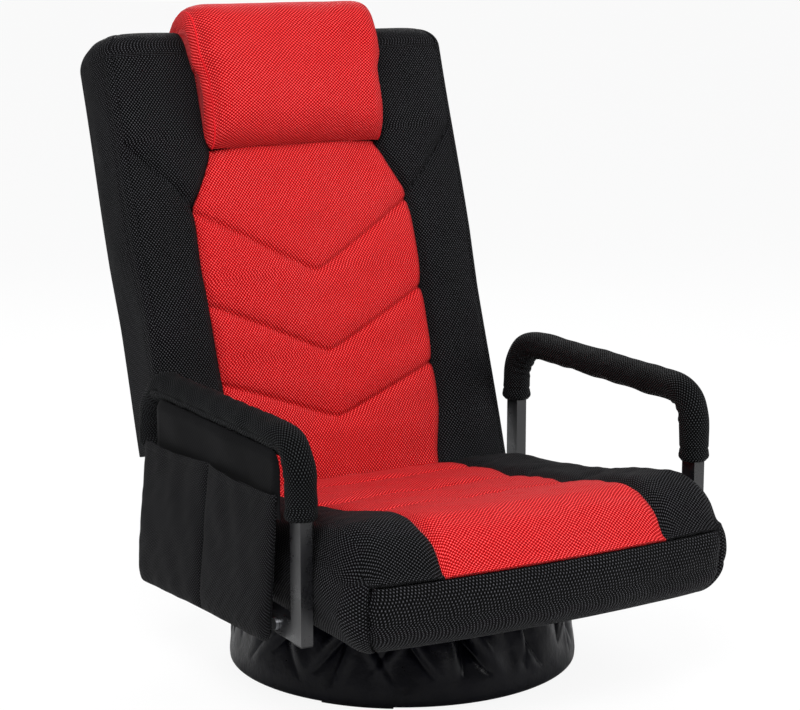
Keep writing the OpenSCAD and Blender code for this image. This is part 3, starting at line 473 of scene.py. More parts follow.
def cushion_top(name, xs, share_of, slot, node, channels, seed):
    """A seat cushion from its seam up and over, closed underneath."""
    k = np.concatenate([np.linspace(0, LIP_K, 10, endpoint=False), np.linspace(LIP_K, NOSE_K, 34, endpoint=False),
                        np.linspace(NOSE_K, TAIL_K, 150, endpoint=False), np.linspace(TAIL_K, 1, 5)])
    kk, xx = np.meshgrid(k, xs)
    depth = channels(xx)
    z = seat_top(kk, xx, share_of(xx), depth)
    y = seat_y(kk, xx)
    puff = soft_noise(xx, kk * SEAT_LEN, seed, 110, 90) * 1.3 + soft_noise(xx, kk * SEAT_LEN, seed + 1, 34, 28) * 0.5
    settle = np.clip((z - seam_z(y)) / 22, 0, 1)
    z = z + (puff - edge_dip(xx)) * settle
    pucker = np.sin(xx / 8.5 + 1.7 * np.sin(xx / 41.0)) * 0.8
    for c in CHANNELS:
        z = z + pucker * gauss(kk, c + 0.012, 0.014) * depth * settle
    pull = 1.9 * gauss(z, SEAM_FRONT_Z, 4.0) * gauss(kk, 0, 0.02)
    y = y + pull + 0.5 * np.sin(xx / 11.0 + 2 * np.sin(xx / 53.0)) * gauss(kk, 0.02, 0.03)
    z = np.maximum(z, seam_z(y) + 0.4)
    ku, xu = np.meshgrid(np.linspace(1, 0, 14), xs)
    top = np.stack([xx, y, z], axis=2)
    yu = seat_y(ku, xu) + 3.0 * gauss(ku, 0, 0.03)
    under = np.stack([xu, yu, seam_z(yu)], axis=2)
    obj = face_out(grid_mesh(name, np.concatenate([top, under], axis=1), MAT[slot]))
    finish_piece(obj, "seat", [node])


def build_seat_tops():
    def panel_share(x):
        return smooth_lookup(np.abs(x) / PANEL_HALF, [0, .4, .75, .94, 1], [1, 1, .985, .95, .93])

    xs = np.concatenate([-np.linspace(PANEL_HALF, 0, 60, endpoint=False), np.linspace(0, PANEL_HALF, 61)])
    cushion_top("seat_centre_cushion", xs, panel_share, "red_mesh", "seat_centre_pad", np.ones_like, 11)
    side = np.concatenate([np.linspace(PANEL_HALF + 0.3, PANEL_HALF + 12, 10, endpoint=False),
                           np.linspace(PANEL_HALF + 12, SEAT_HALF - 14, 34, endpoint=False),
                           np.linspace(SEAT_HALF - 14, SEAT_HALF - 0.5, 14)])
    for name, xs, seed in (("left", side, 21), ("right", -side[::-1], 31)):
        cushion_top("seat_bolster_cushion_" + name, xs, bolster_share, "black_mesh", "seat_bolster_" + name,
                    bolster_fade, seed)


def plan_outline():
    """The seat's outline from above, at even steps, with its outward directions, counter-clockwise."""
    x = SEAT_HALF * np.sin(np.linspace(-np.pi / 2, np.pi / 2, 300))
    front = np.stack([x, seat_y(0, x)], axis=1)
    sides = np.linspace(front[-1, 1], SEAT_REAR, 150)[1:]
    right = np.stack([np.full(sides.shape, SEAT_HALF), sides], axis=1)
    rear = np.stack([np.linspace(SEAT_HALF, -SEAT_HALF, 170)[1:], np.full(169, SEAT_REAR)], axis=1)
    left = np.stack([np.full(sides.shape, -SEAT_HALF), sides[::-1]], axis=1)[1:]
    line = np.concatenate([front, right, rear, left, front[:1]])
    length = running_length(line)
    at = np.arange(0, length[-1], OUTLINE_STEP)
    even = np.stack([np.interp(at, length, line[:, i]) for i in (0, 1)], axis=1)
    reach = 8
    kernel = np.exp(-0.5 * (np.arange(-reach, reach + 1) * OUTLINE_STEP / 5.0) ** 2)
    kernel /= kernel.sum()
    wrapped = np.vstack([even[-reach:], even, even[:reach]])
    even = np.stack([np.convolve(wrapped[:, i], kernel, "valid") for i in (0, 1)], axis=1)
    way = np.roll(even, -1, 0) - np.roll(even, 1, 0)
    way /= np.linalg.norm(way, axis=1, keepdims=True)
    return even, np.stack([way[:, 1], -way[:, 0]], axis=1)


def body_side(even, along, h, front):
    """Height and outward growth of the seat body's side, from its round foot (h -1 to 0) up to the seam (1)."""
    if h < 0:
        a = np.pi / 2 * (1 + h)
        z = FOOT_Z + FOOT_R * (1 - np.cos(a)) + 0 * along
        grow = soft_noise(along, z, 5, 95, 60) * (1 + h) + 2.2 * np.sin(a) - FOOT_R * (1 - np.sin(a))
    else:
        z = FOOT_Z + FOOT_R + (seam_z(even[:, 1]) - FOOT_Z - FOOT_R) * h
        grow = 2.2 + 3.0 * np.sin(np.pi * min(h, 0.94) ** 0.8) * (0.6 + 0.4 * front)
        grow = grow + soft_noise(along, z, 6, 85, 55) * 1.2 * np.sin(np.pi * h) ** 0.5
        grow = grow - 2.6 * h ** 8
    return z, grow


def build_seat_body():
    even, out = plan_outline()
    front = np.clip(-out[:, 1], 0, 1) ** 2
    along = np.arange(len(even)) * OUTLINE_STEP
    tucked = TUCK * np.clip((np.abs(even[:, 0]) - GUSSET_X + TUCK) / TUCK, 0, 1)
    rows = []
    for h in np.concatenate([np.linspace(-1, 0, 14, endpoint=False), np.linspace(0, 0.9, 24, endpoint=False),
                             np.linspace(0.9, 1, 8)]):
        z, grow = body_side(even, along, float(h), front)
        pucker = np.sin(along / 7.5 + 2 * np.sin(along / 45.0)) * 0.5 * np.exp(-((1 - h) * 9) ** 2)
        rows.append(np.column_stack([even + out * (grow + pucker - tucked)[:, None], z]))
    last = rows[-1]
    for inset in (3.0, 8.0, 20.0):
        rows.append(np.column_stack([even - out * (inset + tucked)[:, None], last[:, 2] - 0.6]))
    body = face_out(grid_mesh("seat_body_cover", np.array(rows), MAT["black_mesh"]))
    finish_piece(body, "seat", ["seat_body"])


def build_side_gusset(side, name, seed):
    """The seat's side panel: one piece of cloth over foam from the foot up over the bolster's outer edge."""
    even, out = plan_outline()
    keep = np.nonzero((even[:, 0] > GUSSET_X) & (even[:, 1] < SEAT_REAR - 2))[0]
    even, out = even[keep], out[keep]
    along = np.arange(len(even)) * OUTLINE_STEP
    front = np.clip(-out[:, 1], 0, 1) ** 2
    total = along[-1]
    start = FRONT_BULGE + CORNER_R - SEAT_FRONT
    k_edge = np.clip((even[:, 1] - start) / (SEAT_REAR - start), 0, 1)
    turn = np.clip(along / GUSSET_TURN, 0, 1)
    x_seam = GUSSET_X - 5 * turn - 2 * np.sin(np.pi * np.clip(along / total, 0, 1))
    k_seam = 0.045 * turn + 0.955 * k_edge
    end = np.minimum(along, total - along)
    rows = []
    for b in np.linspace(0, 1, 14):
        x = x_seam + (np.minimum(even[:, 0], SEAT_HALF - 0.3) - x_seam) * b
        k = k_seam + (k_edge - k_seam) * b
        z = seat_top(k, x, bolster_share(x), bolster_fade(x))
        rise = (3.4 * np.sin(np.pi / 2 * b) ** 0.7 - 1.3) * np.clip(end / 6, 0, 1) ** 0.5
        push = np.stack([out[:, 0] * (0.3 + 0.7 * b), out[:, 1] * (0.3 + 0.7 * b), 1 - 0.9 * b + 0 * x], axis=1)
        push /= np.linalg.norm(push, axis=1, keepdims=True)
        rows.append(np.column_stack([x, seat_y(k, x), z]) + push * rise[:, None])
    edge, blend = rows[-1], 0.25
    for h in np.concatenate([np.linspace(1, 0, 22)[1:], np.linspace(0, -0.96, 16)[1:]]):
        z, grow = body_side(even, along, float(h), front)
        lift = (edge[:, 2] - seam_z(even[:, 1])) * max(h, 0.0) ** 2
        swell = 2.6 + 3.6 * np.sin(np.pi * np.clip(h * 0.7 + 0.3, 0, 1))
        fade = np.clip(end / 8, 0, 1) ** 0.5
        grow = grow * 0.9 + swell * fade - 1.6 * (1 - fade) + soft_noise(along, z, seed, 70, 60) * 1.1 * fade
        if h > 1 - blend:
            share = (1 - h) / blend
            above = np.sum((edge[:, :2] - even) * out, axis=1)
            grow = above * (1 - share) + grow * share + 1.2 * np.sin(np.pi * share)
        rows.append(np.column_stack([even + out * grow[:, None], z + lift]))
    outer = np.array(rows)
    inner = outer[::-1].copy()
    inner[..., :2] -= out[None] * GUSSET_T
    inner[..., 2] -= 3.0 * np.linspace(0, 1, len(inner))[:, None] ** 2
    ring = np.concatenate([outer, inner]).transpose(1, 0, 2)
    ring[..., 0] *= side
    gusset = face_out(grid_mesh("seat_side_gusset_" + name, ring, MAT["black_mesh"]))
    finish_piece(gusset, "seat")
    path = outer[0] + np.array([0.0, 0.0, -0.4])
    path[:, 0] *= side
    finish_piece(tube("seat_gusset_seam_" + name, path, 0.9, MAT["black_thread"]), "seat")


# The back: places are (u across, w into the back, v up the back)

def back_point(u, w, v):
    """Place in the chair's frame of a place in the back's own, in millimetres."""
    u, w, v = np.broadcast_arrays(u, w, v)
    y = BACK_FOOT[1] + w * math.cos(LEAN) + v * math.sin(LEAN)
    z = BACK_FOOT[2] - w * math.sin(LEAN) + v * math.cos(LEAN)
    return np.stack([u.astype(float), y, z], axis=-1)


PANEL_V = [-50, 0, 84, 140, 243, 290, 370, 394, 421, 447, 530, 576, 640]
PANEL_HALF_V = [141, 141, 156, 158, 160, 162, 159, 148, 134, 124, 124, 132, 132]
CHEVRONS = ((77, 139), (164, 243), (272, 365))
CHEVRON_HALF = 159.0
CHEVRON_STITCH, CHEVRON_VALLEY, CHEVRON_ROUND = (5.6, 3.6), (4.2, 15.0), 0.0016
PANEL_GAP, PANEL_EDGE, CREASE = 0.4, (4.5, 5.0), (6.0, 10.0)
WING_CROWN, WING_EDGE, RIDGE_STITCH = 7.5, (7.0, 6.0), (2.6, 3.0)
WING_SEAM, WING_STITCH, WING_VALLEY = ((160, 372), (247, 465)), (4.2, 3.0), (4.0, 15.0)
FOOT_V, SHOULDER_V, ARM_CLEAR_V = -46.0, 566.0, 235.0
RIDGE_W, SIDE_BULGE = 13.0, 4.2
TOP_R, SHOULDER_R, RIDGE_R = 24.0, 26.0, 9.0
NOTCH_V, NOTCH_W, NOTCH_U = 66.0, 20.0, 185.0
CAVITY_TOP_V, CAVITY_U, CAVITY_W = 574.0, 217.0, 88.0


def panel_half(v):
    """Half the centre panel's width."""
    return smooth_lookup(v, PANEL_V, PANEL_HALF_V)


def back_front(v):
    """How far the back's front lies in where its foot and its top round off."""
    low = round_in(np.maximum(PIVOT_V - v, 0), BACK_T / 2)
    high = round_in(np.maximum(v - (BACK_LEN - TOP_R), 0), TOP_R)
    return low + high


def wing_front(v, p, h, f):
    """Front of a wing from the panel's edge p to the ridge at the side h: (u, w)."""
    s = np.linspace(0, 1, 46)
    u = p + (h - RIDGE_R - p) * s
    crown = -WING_CROWN * np.sin(np.pi * s) ** 0.8
    groove = dip(u, p, WING_EDGE) + dip(u, h - RIDGE_R, RIDGE_STITCH)
    (u0, v0), (u1, v1) = WING_SEAM
    seam_v = v0 + (v1 - v0) * (u - u0) / (u1 - u0)
    seam = dip(v, seam_v, WING_STITCH) + dip(v, seam_v, WING_VALLEY)
    seam = seam * (u > u0 - 10) * np.clip((h - 4 - u) / 10, 0, 1)
    return list(zip(u, f + crown + groove + seam + soft_noise(u, v, 41, 90, 120) * 1.4))


def wing_side(v, h, f, t):
    """Side of the back from behind the ridge to the rear: (u, w). Below the notch only a flap in front is left."""
    m = np.linspace(0.08, 1, 20)
    start = f + RIDGE_W
    if v < NOTCH_V:
        end = NOTCH_W + f
        return list(zip(h + 0 * m, start + (end - start) * m)) + [(NOTCH_U, end + 0.5)]
    free = float(ease(v, ARM_CLEAR_V, ARM_CLEAR_V + 90))
    w = start + (t - 8 - start) * m
    bulge = free * SIDE_BULGE * np.sin(np.pi * m) ** 0.7
    wave = soft_noise(w, v, 43, 70, 110) * (0.4 + 0.8 * free) * np.sin(np.pi * m)
    return list(zip(h + bulge + wave, w)) + [(h - 1.5, t - 7)]


def build_back_body():
    top = BACK_LEN - (BACK_LEN - SHOULDER_V) * (1 - np.sin(np.linspace(0.02, 1.52, 18)))
    vs = np.concatenate([np.linspace(FOOT_V, PIVOT_V, 14), np.linspace(PIVOT_V + 3, NOTCH_V - 0.6, 30),
                         np.linspace(NOTCH_V, SHOULDER_V, 160), top])
    turn = np.linspace(0.15, 1, 9) * np.pi / 2
    rings = []
    for v in vs:
        f, p = float(back_front(v)), float(panel_half(v))
        t = BACK_T - f
        h = BACK_HALF - 2 - float(round_in(np.maximum(v - (BACK_LEN - SHOULDER_R), 0), SHOULDER_R))
        h += 2.0 * float(ease(v, ARM_CLEAR_V, ARM_CLEAR_V + 80)) + 0.5 * math.sin(v / 47.0)
        rear_u = NOTCH_U if v < NOTCH_V else h
        if v < 0:
            h = NOTCH_U + 0.5
        half = [(p, f + RECESS)] + wing_front(v, p, h, f)
        half += [(h - RIDGE_R * (1 - math.sin(a)), f + 11 * (1 - math.cos(a))) for a in turn]
        half += [(h - 1.6, f + 12.5)] + wing_side(v, h, f, t)
        inner = min(CAVITY_U, rear_u - 9)
        half += [(rear_u - 2, t - 5), (rear_u - 8, t), (inner, t)]
        half += [(inner, CAVITY_W if v < CAVITY_TOP_V else t - 0.5)]
        q = np.array(half + [(-u, w) for u, w in half[::-1]])
        puff = (8.0 - 2.5 * q[:, 0] / BACK_HALF) * float(ease(v, 560, BACK_LEN)) ** 1.5
        rings.append(back_point(q[:, 0], q[:, 1], v + puff))
    body = face_out(grid_mesh("back_body_cover", np.array(rings), MAT["black_mesh"]))
    finish_piece(body, "backrest", ["back_body"])


def chevron_cut(u, v):
    """Depth of the panel's V-shaped channels, each a sharp stitch line in a broad valley."""
    out = 0
    for apex, end in CHEVRONS:
        at = apex + (end - apex) * np.sqrt((u / CHEVRON_HALF) ** 2 + CHEVRON_ROUND)
        out = out + dip(v, at, CHEVRON_STITCH) + dip(v, at, CHEVRON_VALLEY)
    return out


def panel_front(u, v):
    half = panel_half(v)
    k = np.abs(u) / half
    puff = (8.0 + 2.5 * ease(v, 110, 200)) * ease(v, 0, 60)
    w = back_front(v) - puff * (1 - k ** 4) + chevron_cut(u, v)
    w = w + dip(np.abs(u), half, PANEL_EDGE) + dip(v, CREASE_V, CREASE)
    return w + soft_noise(u, v, 51, 100, 80) * 1.3 * (1 - k ** 6)


def build_back_panel():
    vs = np.concatenate([np.linspace(-44, -12, 14, endpoint=False), np.linspace(-12, CREASE_V, 230)])
    ss, vv = np.meshgrid(np.linspace(-1, 1, 121), vs)
    u = ss * (panel_half(vv) - PANEL_GAP)
    front = back_point(u, panel_front(u, vv), vv)
    s2, v2 = np.meshgrid(np.linspace(1, -1, 9), vs)
    rear = back_point(s2 * (panel_half(v2) - PANEL_GAP), back_front(v2) + RECESS, v2)
    panel = face_out(grid_mesh("back_centre_panel", np.concatenate([front, rear], axis=1), MAT["red_mesh"]))
    finish_piece(panel, "backrest", ["back_centre_pad"])


HEAD_V = [447, 450, 456, 468, 485, 510, 560, 590, 612, 626, 635, 640]
HEAD_OUT_SHARE = [.05, .28, .5, .74, .9, .98, 1, .98, .88, .7, .45, .15]
HEAD_OVER = [[642, 4], [642.5, 16], [641, 28], [637, 40], [630, 51], [621, 59], [610, 65], [600.5, 67]]
HEAD_INNER = [[590, 60], [575, 30], [540, 12], [500, 10], [460, 9], [449, 6]]
HEAD_MIDDLE = (548.0, 0.0)
HEAD_TURN, HEAD_DROP = 0.8, 9.0
HEAD_END = [(8.0, 26.0), (7.2, 16.0), (5.0, 8.0), (2.4, 2.6), (0.8, 0.6)]


def head_profile():
    """Closed outline of the headrest seen from the side: (v, w), clockwise from the crease."""
    v = CREASE_V + (HEAD_TOP_V - CREASE_V) * (0.5 - 0.5 * np.cos(np.pi * np.linspace(0, 1, 70)))
    front = np.stack([v, -HEAD_OUT * smooth_lookup(v, HEAD_V, HEAD_OUT_SHARE)], axis=1)
    return np.concatenate([front, HEAD_OVER, HEAD_INNER]), len(front) + len(HEAD_OVER)


def build_headrest():
    outline, shown = head_profile()
    v, w = outline[:, 0], outline[:, 1]
    half = panel_half(v)
    toward = HEAD_MIDDLE - outline
    toward /= np.linalg.norm(toward, axis=1, keepdims=True)

    def ring(s, grow, inset):
        place = outline + toward * inset
        ahead = np.abs(np.minimum(place[:, 1], 0))
        turned = round_in(np.maximum(abs(s) - HEAD_TURN, 0) / (1 - HEAD_TURN), 1.0)
        crown = (w < 5) * (0.1 * s ** 4 + 0.4 * turned) * ahead
        lump = soft_noise(s * half, v, 61, 80, 60) * 1.3 * (w < 0) * (1 - s ** 8)
        high = place[:, 0] - HEAD_DROP * turned * gauss(place[:, 0], HEAD_TOP_V + 2, 40)
        return back_point(s * half + math.copysign(grow, s), place[:, 1] + crown - lump, high)

    rings = [ring(-1.0, grow, inset) for grow, inset in HEAD_END]
    rings += [ring(s, 0.0, 0.0) for s in np.linspace(-1, 1, 91)]
    rings += [ring(1.0, grow, inset) for grow, inset in HEAD_END[::-1]]
    rest = face_out(grid_mesh("headrest_bolster", np.array(rings), MAT["red_mesh"]))
    finish_piece(rest, "backrest", ["headrest"])
    for name, index in (("left", -len(HEAD_END) - 1), ("right", len(HEAD_END))):
        path = rings[index][:shown]
        finish_piece(tube("headrest_seam_" + name, path, 0.9, MAT["red_thread"]), "backrest")


# The armrests' padded sleeves

ARM_X, ARM_FRONT, ARM_REAR, ARM_TOP, SLEEVE_END = 270.8, -255.5, 165.0, 367.0, 270.0
TUBE_HALF_Y = 12.5
ARM_FRONT_R, ARM_REAR_R, SLEEVE_R = 52.0, 66.0, 18.5
SLEEVE_STEP, SLEEVE_GAP = 1.6, 0.8
SLEEVE_SEAM_AT, SLEEVE_SEAM = np.pi * 1.35, (1.3, 0.09)
MOUTH_TUCK, MOUTH_BEAD, MOUTH_STITCH = (2.6, 2.2), (0.9, 4.0), (1.0, 1.5)


def sleeve_path():
    """Middle line of the sleeve in the side view, from the front end over to the rear end."""
    r1, r2 = ARM_FRONT_R - TUBE_HALF_Y, ARM_REAR_R - TUBE_HALF_Y
    y1, y2, top = ARM_FRONT + TUBE_HALF_Y, ARM_REAR - TUBE_HALF_Y, ARM_TOP - TUBE_HALF_Y
    a = np.linspace(0, np.pi / 2, 60)
    parts = [np.stack([np.full(80, y1), np.linspace(SLEEVE_END, top - r1, 80)], 1),
             np.stack([y1 + r1 - r1 * np.cos(a), top - r1 + r1 * np.sin(a)], 1),
             np.stack([np.linspace(y1 + r1, y2 - r2, 200), np.full(200, top)], 1),
             np.stack([y2 - r2 + r2 * np.sin(a), top - r2 + r2 * np.cos(a)], 1),
             np.stack([np.full(80, y2), np.linspace(top - r2, SLEEVE_END, 80)], 1)]
    line = np.concatenate(parts)
    length = running_length(line)
    at = np.arange(0, length[-1] + 0.01, SLEEVE_STEP)
    return np.stack([np.interp(at, length, line[:, i]) for i in (0, 1)], 1), at


def build_sleeve(side, name, seed):
    line, at = sleeve_path()
    way = np.gradient(line, axis=0)
    way /= np.linalg.norm(way, axis=1, keepdims=True)
    out = np.stack([-way[:, 1], way[:, 0]], 1)
    angles = np.linspace(0, 2 * np.pi, 56, endpoint=False)
    bend = np.abs(np.gradient(np.unwrap(np.arctan2(way[:, 1], way[:, 0])), at))
    bend = bend / bend.max()
    end = np.minimum(at, at[-1] - at)
    inside = np.clip(-np.sin(angles), 0, 1)
    seam = dip(angles, SLEEVE_SEAM_AT, SLEEVE_SEAM)
    rings = []
    for i in range(len(at)):
        wrinkle = bend[i] * inside ** 1.4 * 1.5 * math.sin(at[i] / 2.6 + 1.5 * math.sin(at[i] / 19.0))
        around = soft_noise(angles * 18, at[i], seed, 50, 60) * 0.9
        mouth = dip(end[i], 6, MOUTH_BEAD) - dip(end[i], 0, MOUTH_TUCK) - dip(end[i], 15, MOUTH_STITCH)
        r = SLEEVE_R + mouth - seam + wrinkle + around
        ring_x = np.maximum(ARM_X + r * np.cos(angles), SEAT_HALF + SLEEVE_GAP)
        ring_yz = line[i] + (r * np.sin(angles))[:, None] * out[i]
        rings.append(np.stack([side * ring_x, ring_yz[:, 0], ring_yz[:, 1]], 1))
    sleeve = face_out(grid_mesh("armrest_sleeve_cover_" + name, np.array(rings), MAT["sleeve_mesh"]))
    finish_piece(sleeve, "seat", ["armrest_sleeve_" + name])


# Sheets of cloth

def thicken(obj, thickness):
    """Gives a sheet its thickness, inwards and for good."""
    solid = obj.modifiers.new("thickness", "SOLIDIFY")
    solid.thickness = thickness
    solid.offset = -1.0
    depsgraph = bpy.context.evaluated_depsgraph_get()
    done = bpy.data.meshes.new_from_object(obj.evaluated_get(depsgraph))
    obj.modifiers.clear()
    obj.data = done
    smooth_faces(done)


# The gathered cover of the ring, from its foot up to its upper edge

COVER_R = [219.2, 219.6, 219.2, 218.0, 214.0, 209.5, 203.0, 191.0, 170.0, 140.0, 119.0]
COVER_Z = [4.0, 9.0, 15.0, 24.0, 44.0, 62.0, 82.0, 99.0, 110.0, 117.0, 120.0]
COVER_TOP, COVER_T = 123.0, 0.0005
FOLD_GAP, FOLD_TIP, FOLD_SLANT = (0.085, 0.25), (20, 50), (-0.0042, 0.0042)
FOLD_DEEP, FOLD_WIDE, FOLD_R = (4.0, 10.5), (4.0, 8.0), 200.0


def gather_folds(theta, z, seed):
    """Pull of the elastic on the cover: slanted creases that run down from the top and die out above the ring."""
    rng = np.random.default_rng(seed)
    out = np.zeros_like(theta)
    at, places = 0.0, []
    while at < 2 * np.pi - 0.05:
        places.append(at)
        at += rng.uniform(*FOLD_GAP)
    for place in places:
        tip = rng.uniform(*FOLD_TIP)
        slant = rng.uniform(*FOLD_SLANT)
        deep = rng.uniform(*FOLD_DEEP) * (0.75 + 0.6 * gauss(place, 4.8, 0.75))
        wide = rng.uniform(*FOLD_WIDE)
        side = rng.choice([-1.0, 1.0])
        grow = np.clip((z - tip) / 34, 0, 1) ** 0.8
        x = (np.mod(theta - place - slant * (z - tip) + np.pi, 2 * np.pi) - np.pi) * FOLD_R
        valley = -deep * np.exp(-np.abs(x) / (wide * (0.35 + 0.65 * grow)))
        ridge = 0.62 * deep * gauss(x, side * wide * 1.9, wide * (0.8 + grow))
        out += (valley + ridge) * grow
    return out


def build_dust_cover():
    path = running_length(np.column_stack([COVER_R, COVER_Z]))
    t = np.linspace(0, 1, 70)
    r, z = (smooth_lookup(t, path / path[-1], table) for table in (COVER_R, COVER_Z))
    th, zz = np.meshgrid(np.linspace(0, 2 * np.pi, 720, endpoint=False), z)
    steps = np.hypot(np.gradient(r), np.gradient(z)) + 1e-9
    lean, rise = np.gradient(r) / steps, np.gradient(z) / steps
    calm = np.clip((121 - zz) / 20, 0.18, 1)
    push = gather_folds(th, zz, 19) * calm
    push += soft_noise(np.cos(th) * 219, np.sin(th) * 219, 81, 70, 70) * 2.4 * ease(zz, 18, 58) * calm
    rr = r[:, None] + push * rise[:, None]
    hh = z[:, None] - push * lean[:, None]
    points = np.stack([rr * np.cos(th), rr * np.sin(th), np.minimum(hh, COVER_TOP)], axis=2)
    cover = grid_mesh("dust_cover_cloth", points, MAT["skirt_cloth"], caps=False, flip=True)
    thicken(cover, COVER_T)
    finish_piece(cover, "base", ["dust_cover"])


def sheet_piece(name, points, material, body, nodes, thickness=0.001):
    """A sheet of cloth through a grid of points, outer side first."""
    obj = grid_mesh(name, points, material, closed_ring=False, caps=False)
    thicken(obj, thickness)
    finish_piece(obj, body, nodes)


# The side pocket: two mesh pouches on a smooth panel, on the sitter's right

PANEL_X, POUCH_X = 286.2, 289.8
PANEL_FRONT, PANEL_REAR, PANEL_TOP, PANEL_LOW = -226.0, 104.0, 343.9, 267.0
PANEL_R = 20.0
MOUTH = np.array([[-222, 295.5], [-53, 296.5], [127, 287.5]])
BASE = np.array([[-203, 117.5], [-25, 110.0], [158, 98.0]])
POUCH_CORNER, HEM, POUCH_T = 15.0, 9.5, 0.0009
HEM_FOLD = ((1.9, -9.0), (1.9, -5.0), (1.8, -1.4), (1.1, 0.1))


def pouch_place(i, j, s, t, corners):
    """Side-view place (y, z) between the pocket's edges i and j, from the mouth to the base."""
    width = np.linalg.norm(BASE[j] - BASE[i])
    lift = np.zeros_like(s)
    for at, wanted in ((s, corners[0]), (1 - s, corners[1])):
        if wanted:
            lift = lift + round_in(np.maximum(POUCH_CORNER - at * width, 0), POUCH_CORNER)
    mouth = (1 - s)[..., None] * MOUTH[i] + s[..., None] * MOUTH[j]
    base = (1 - s)[..., None] * BASE[i] + s[..., None] * BASE[j]
    base = base + np.stack([0 * lift, lift], axis=-1)
    return mouth * (1 - t)[..., None] + base * t[..., None]


def build_pouch(name, i, corners, node, seed):
    """A billowed mesh pouch between the pocket's edges i and i + 1, with its hem folded in at the mouth."""
    s = 0.5 - 0.5 * np.cos(np.pi * np.linspace(0, 1, 74))
    height = np.linalg.norm(BASE[i] - MOUTH[i])
    fine = 14 / height
    t = np.concatenate([np.linspace(0, fine, 12, endpoint=False), np.linspace(fine, 0.93, 60),
                        1 - 0.07 * np.cos(np.linspace(0.1, np.pi / 2, 14))])
    ss, tt = np.meshgrid(s, t)
    place = pouch_place(i, i + 1, ss, tt, corners)
    edge = np.maximum(1 - np.abs(2 * ss - 1) ** 9, 0) ** 0.4 * np.maximum(1 - tt ** 16, 0) ** 0.4
    billow = 6.6 + 5.2 * np.sin(np.minimum(tt * 1.25, 1) * np.pi / 2) + 1.5 * np.sin(np.pi * ss) * (1 - tt)
    waves = soft_noise(place[..., 0], place[..., 1], seed, 75, 95) * 1.1
    waves += soft_noise(place[..., 0] + place[..., 1], place[..., 1], seed + 1, 30, 60) * 0.35
    down = tt * height
    stitch = 0.35 * (down < HEM) - 0.5 * gauss(down, HEM, 1.1)
    out = (billow + waves + stitch) * edge
    place[..., 1] -= 2.2 * np.sin(np.pi * ss) ** 1.5 * (1 - tt) ** 3
    outer = np.stack([-(POUCH_X + 0.2 + out), place[..., 0], place[..., 1]], axis=2)
    fold = []
    for inward, drop in HEM_FOLD:
        row = outer[0].copy()
        row[:, 0] += inward * edge[0]
        row[:, 2] += drop
        fold.append(row)
    sheet_piece(name, np.concatenate([np.array(fold), outer]), MAT["pocket_mesh"], "seat", [node],
                POUCH_T)


def build_pocket():
    wide = PANEL_REAR - PANEL_FRONT
    y = np.concatenate([np.linspace(0, PANEL_R, 14, endpoint=False), np.linspace(PANEL_R, wide - PANEL_R, 70),
                        wide - PANEL_R + np.linspace(0, PANEL_R, 14)[1:]])
    yy, tt = np.meshgrid(y, np.linspace(0, 1, 40))
    near = np.minimum(yy, wide - yy)
    top = PANEL_TOP - round_in(np.maximum(PANEL_R - near, 0), PANEL_R)
    z = top * (1 - tt) + (PANEL_LOW + 0.4) * tt
    rim = np.clip(np.minimum(near, top - z) / 14, 0, 1)
    out = 1.0 + 3.4 * np.sin(rim * np.pi / 2) * (1 - tt ** 2 * 0.8)
    out += soft_noise(yy, z, 92, 120, 60) * 0.9 * rim
    panel = np.stack([-(PANEL_X + 0.9 + out), yy + PANEL_FRONT, z], axis=2)
    panel[..., 0] = np.maximum(panel[..., 0], -(POUCH_X + 3.0))
    sheet_piece("pocket_panel_cloth", panel, MAT["pocket_cloth"], "seat", ["pocket_panel"])
    ss, tt = np.meshgrid(np.linspace(0, 1, 60), np.linspace(0.02, 1, 50))
    place = pouch_place(0, 2, ss, tt, (1, 1))
    back = np.stack([np.full(ss.shape, -POUCH_X), place[..., 0], place[..., 1]], axis=2)
    sheet_piece("pocket_backing", back, MAT["pocket_mesh"], "seat", [])
    build_pouch("pocket_pouch_front_mesh", 0, (1, 0), "pocket_pouch_front", 93)
    build_pouch("pocket_pouch_rear_mesh", 1, (0, 1), "pocket_pouch_rear", 97)
    at = np.linspace(0, 1, 60)[:, None]
    for i, (name, inward) in enumerate((("front", 1.6), ("middle", 0), ("rear", -1.6))):
        line = MOUTH[i] * (1 - at) + BASE[i] * at
        if inward:
            line = line[:-6] + [inward, 0]
        path = np.column_stack([np.full(len(line), -(POUCH_X + 0.8)), line])
        finish_piece(tube("pocket_seam_" + name, path, 1.1, MAT["pocket_cloth"], sides=6), "seat")


# The flat covers of the back and of the underside

REAR_HALF, REAR_V0, REAR_V1, REAR_W = 214.0, 92.0, 571.0, 92.6
UNDER_T = 0.0008


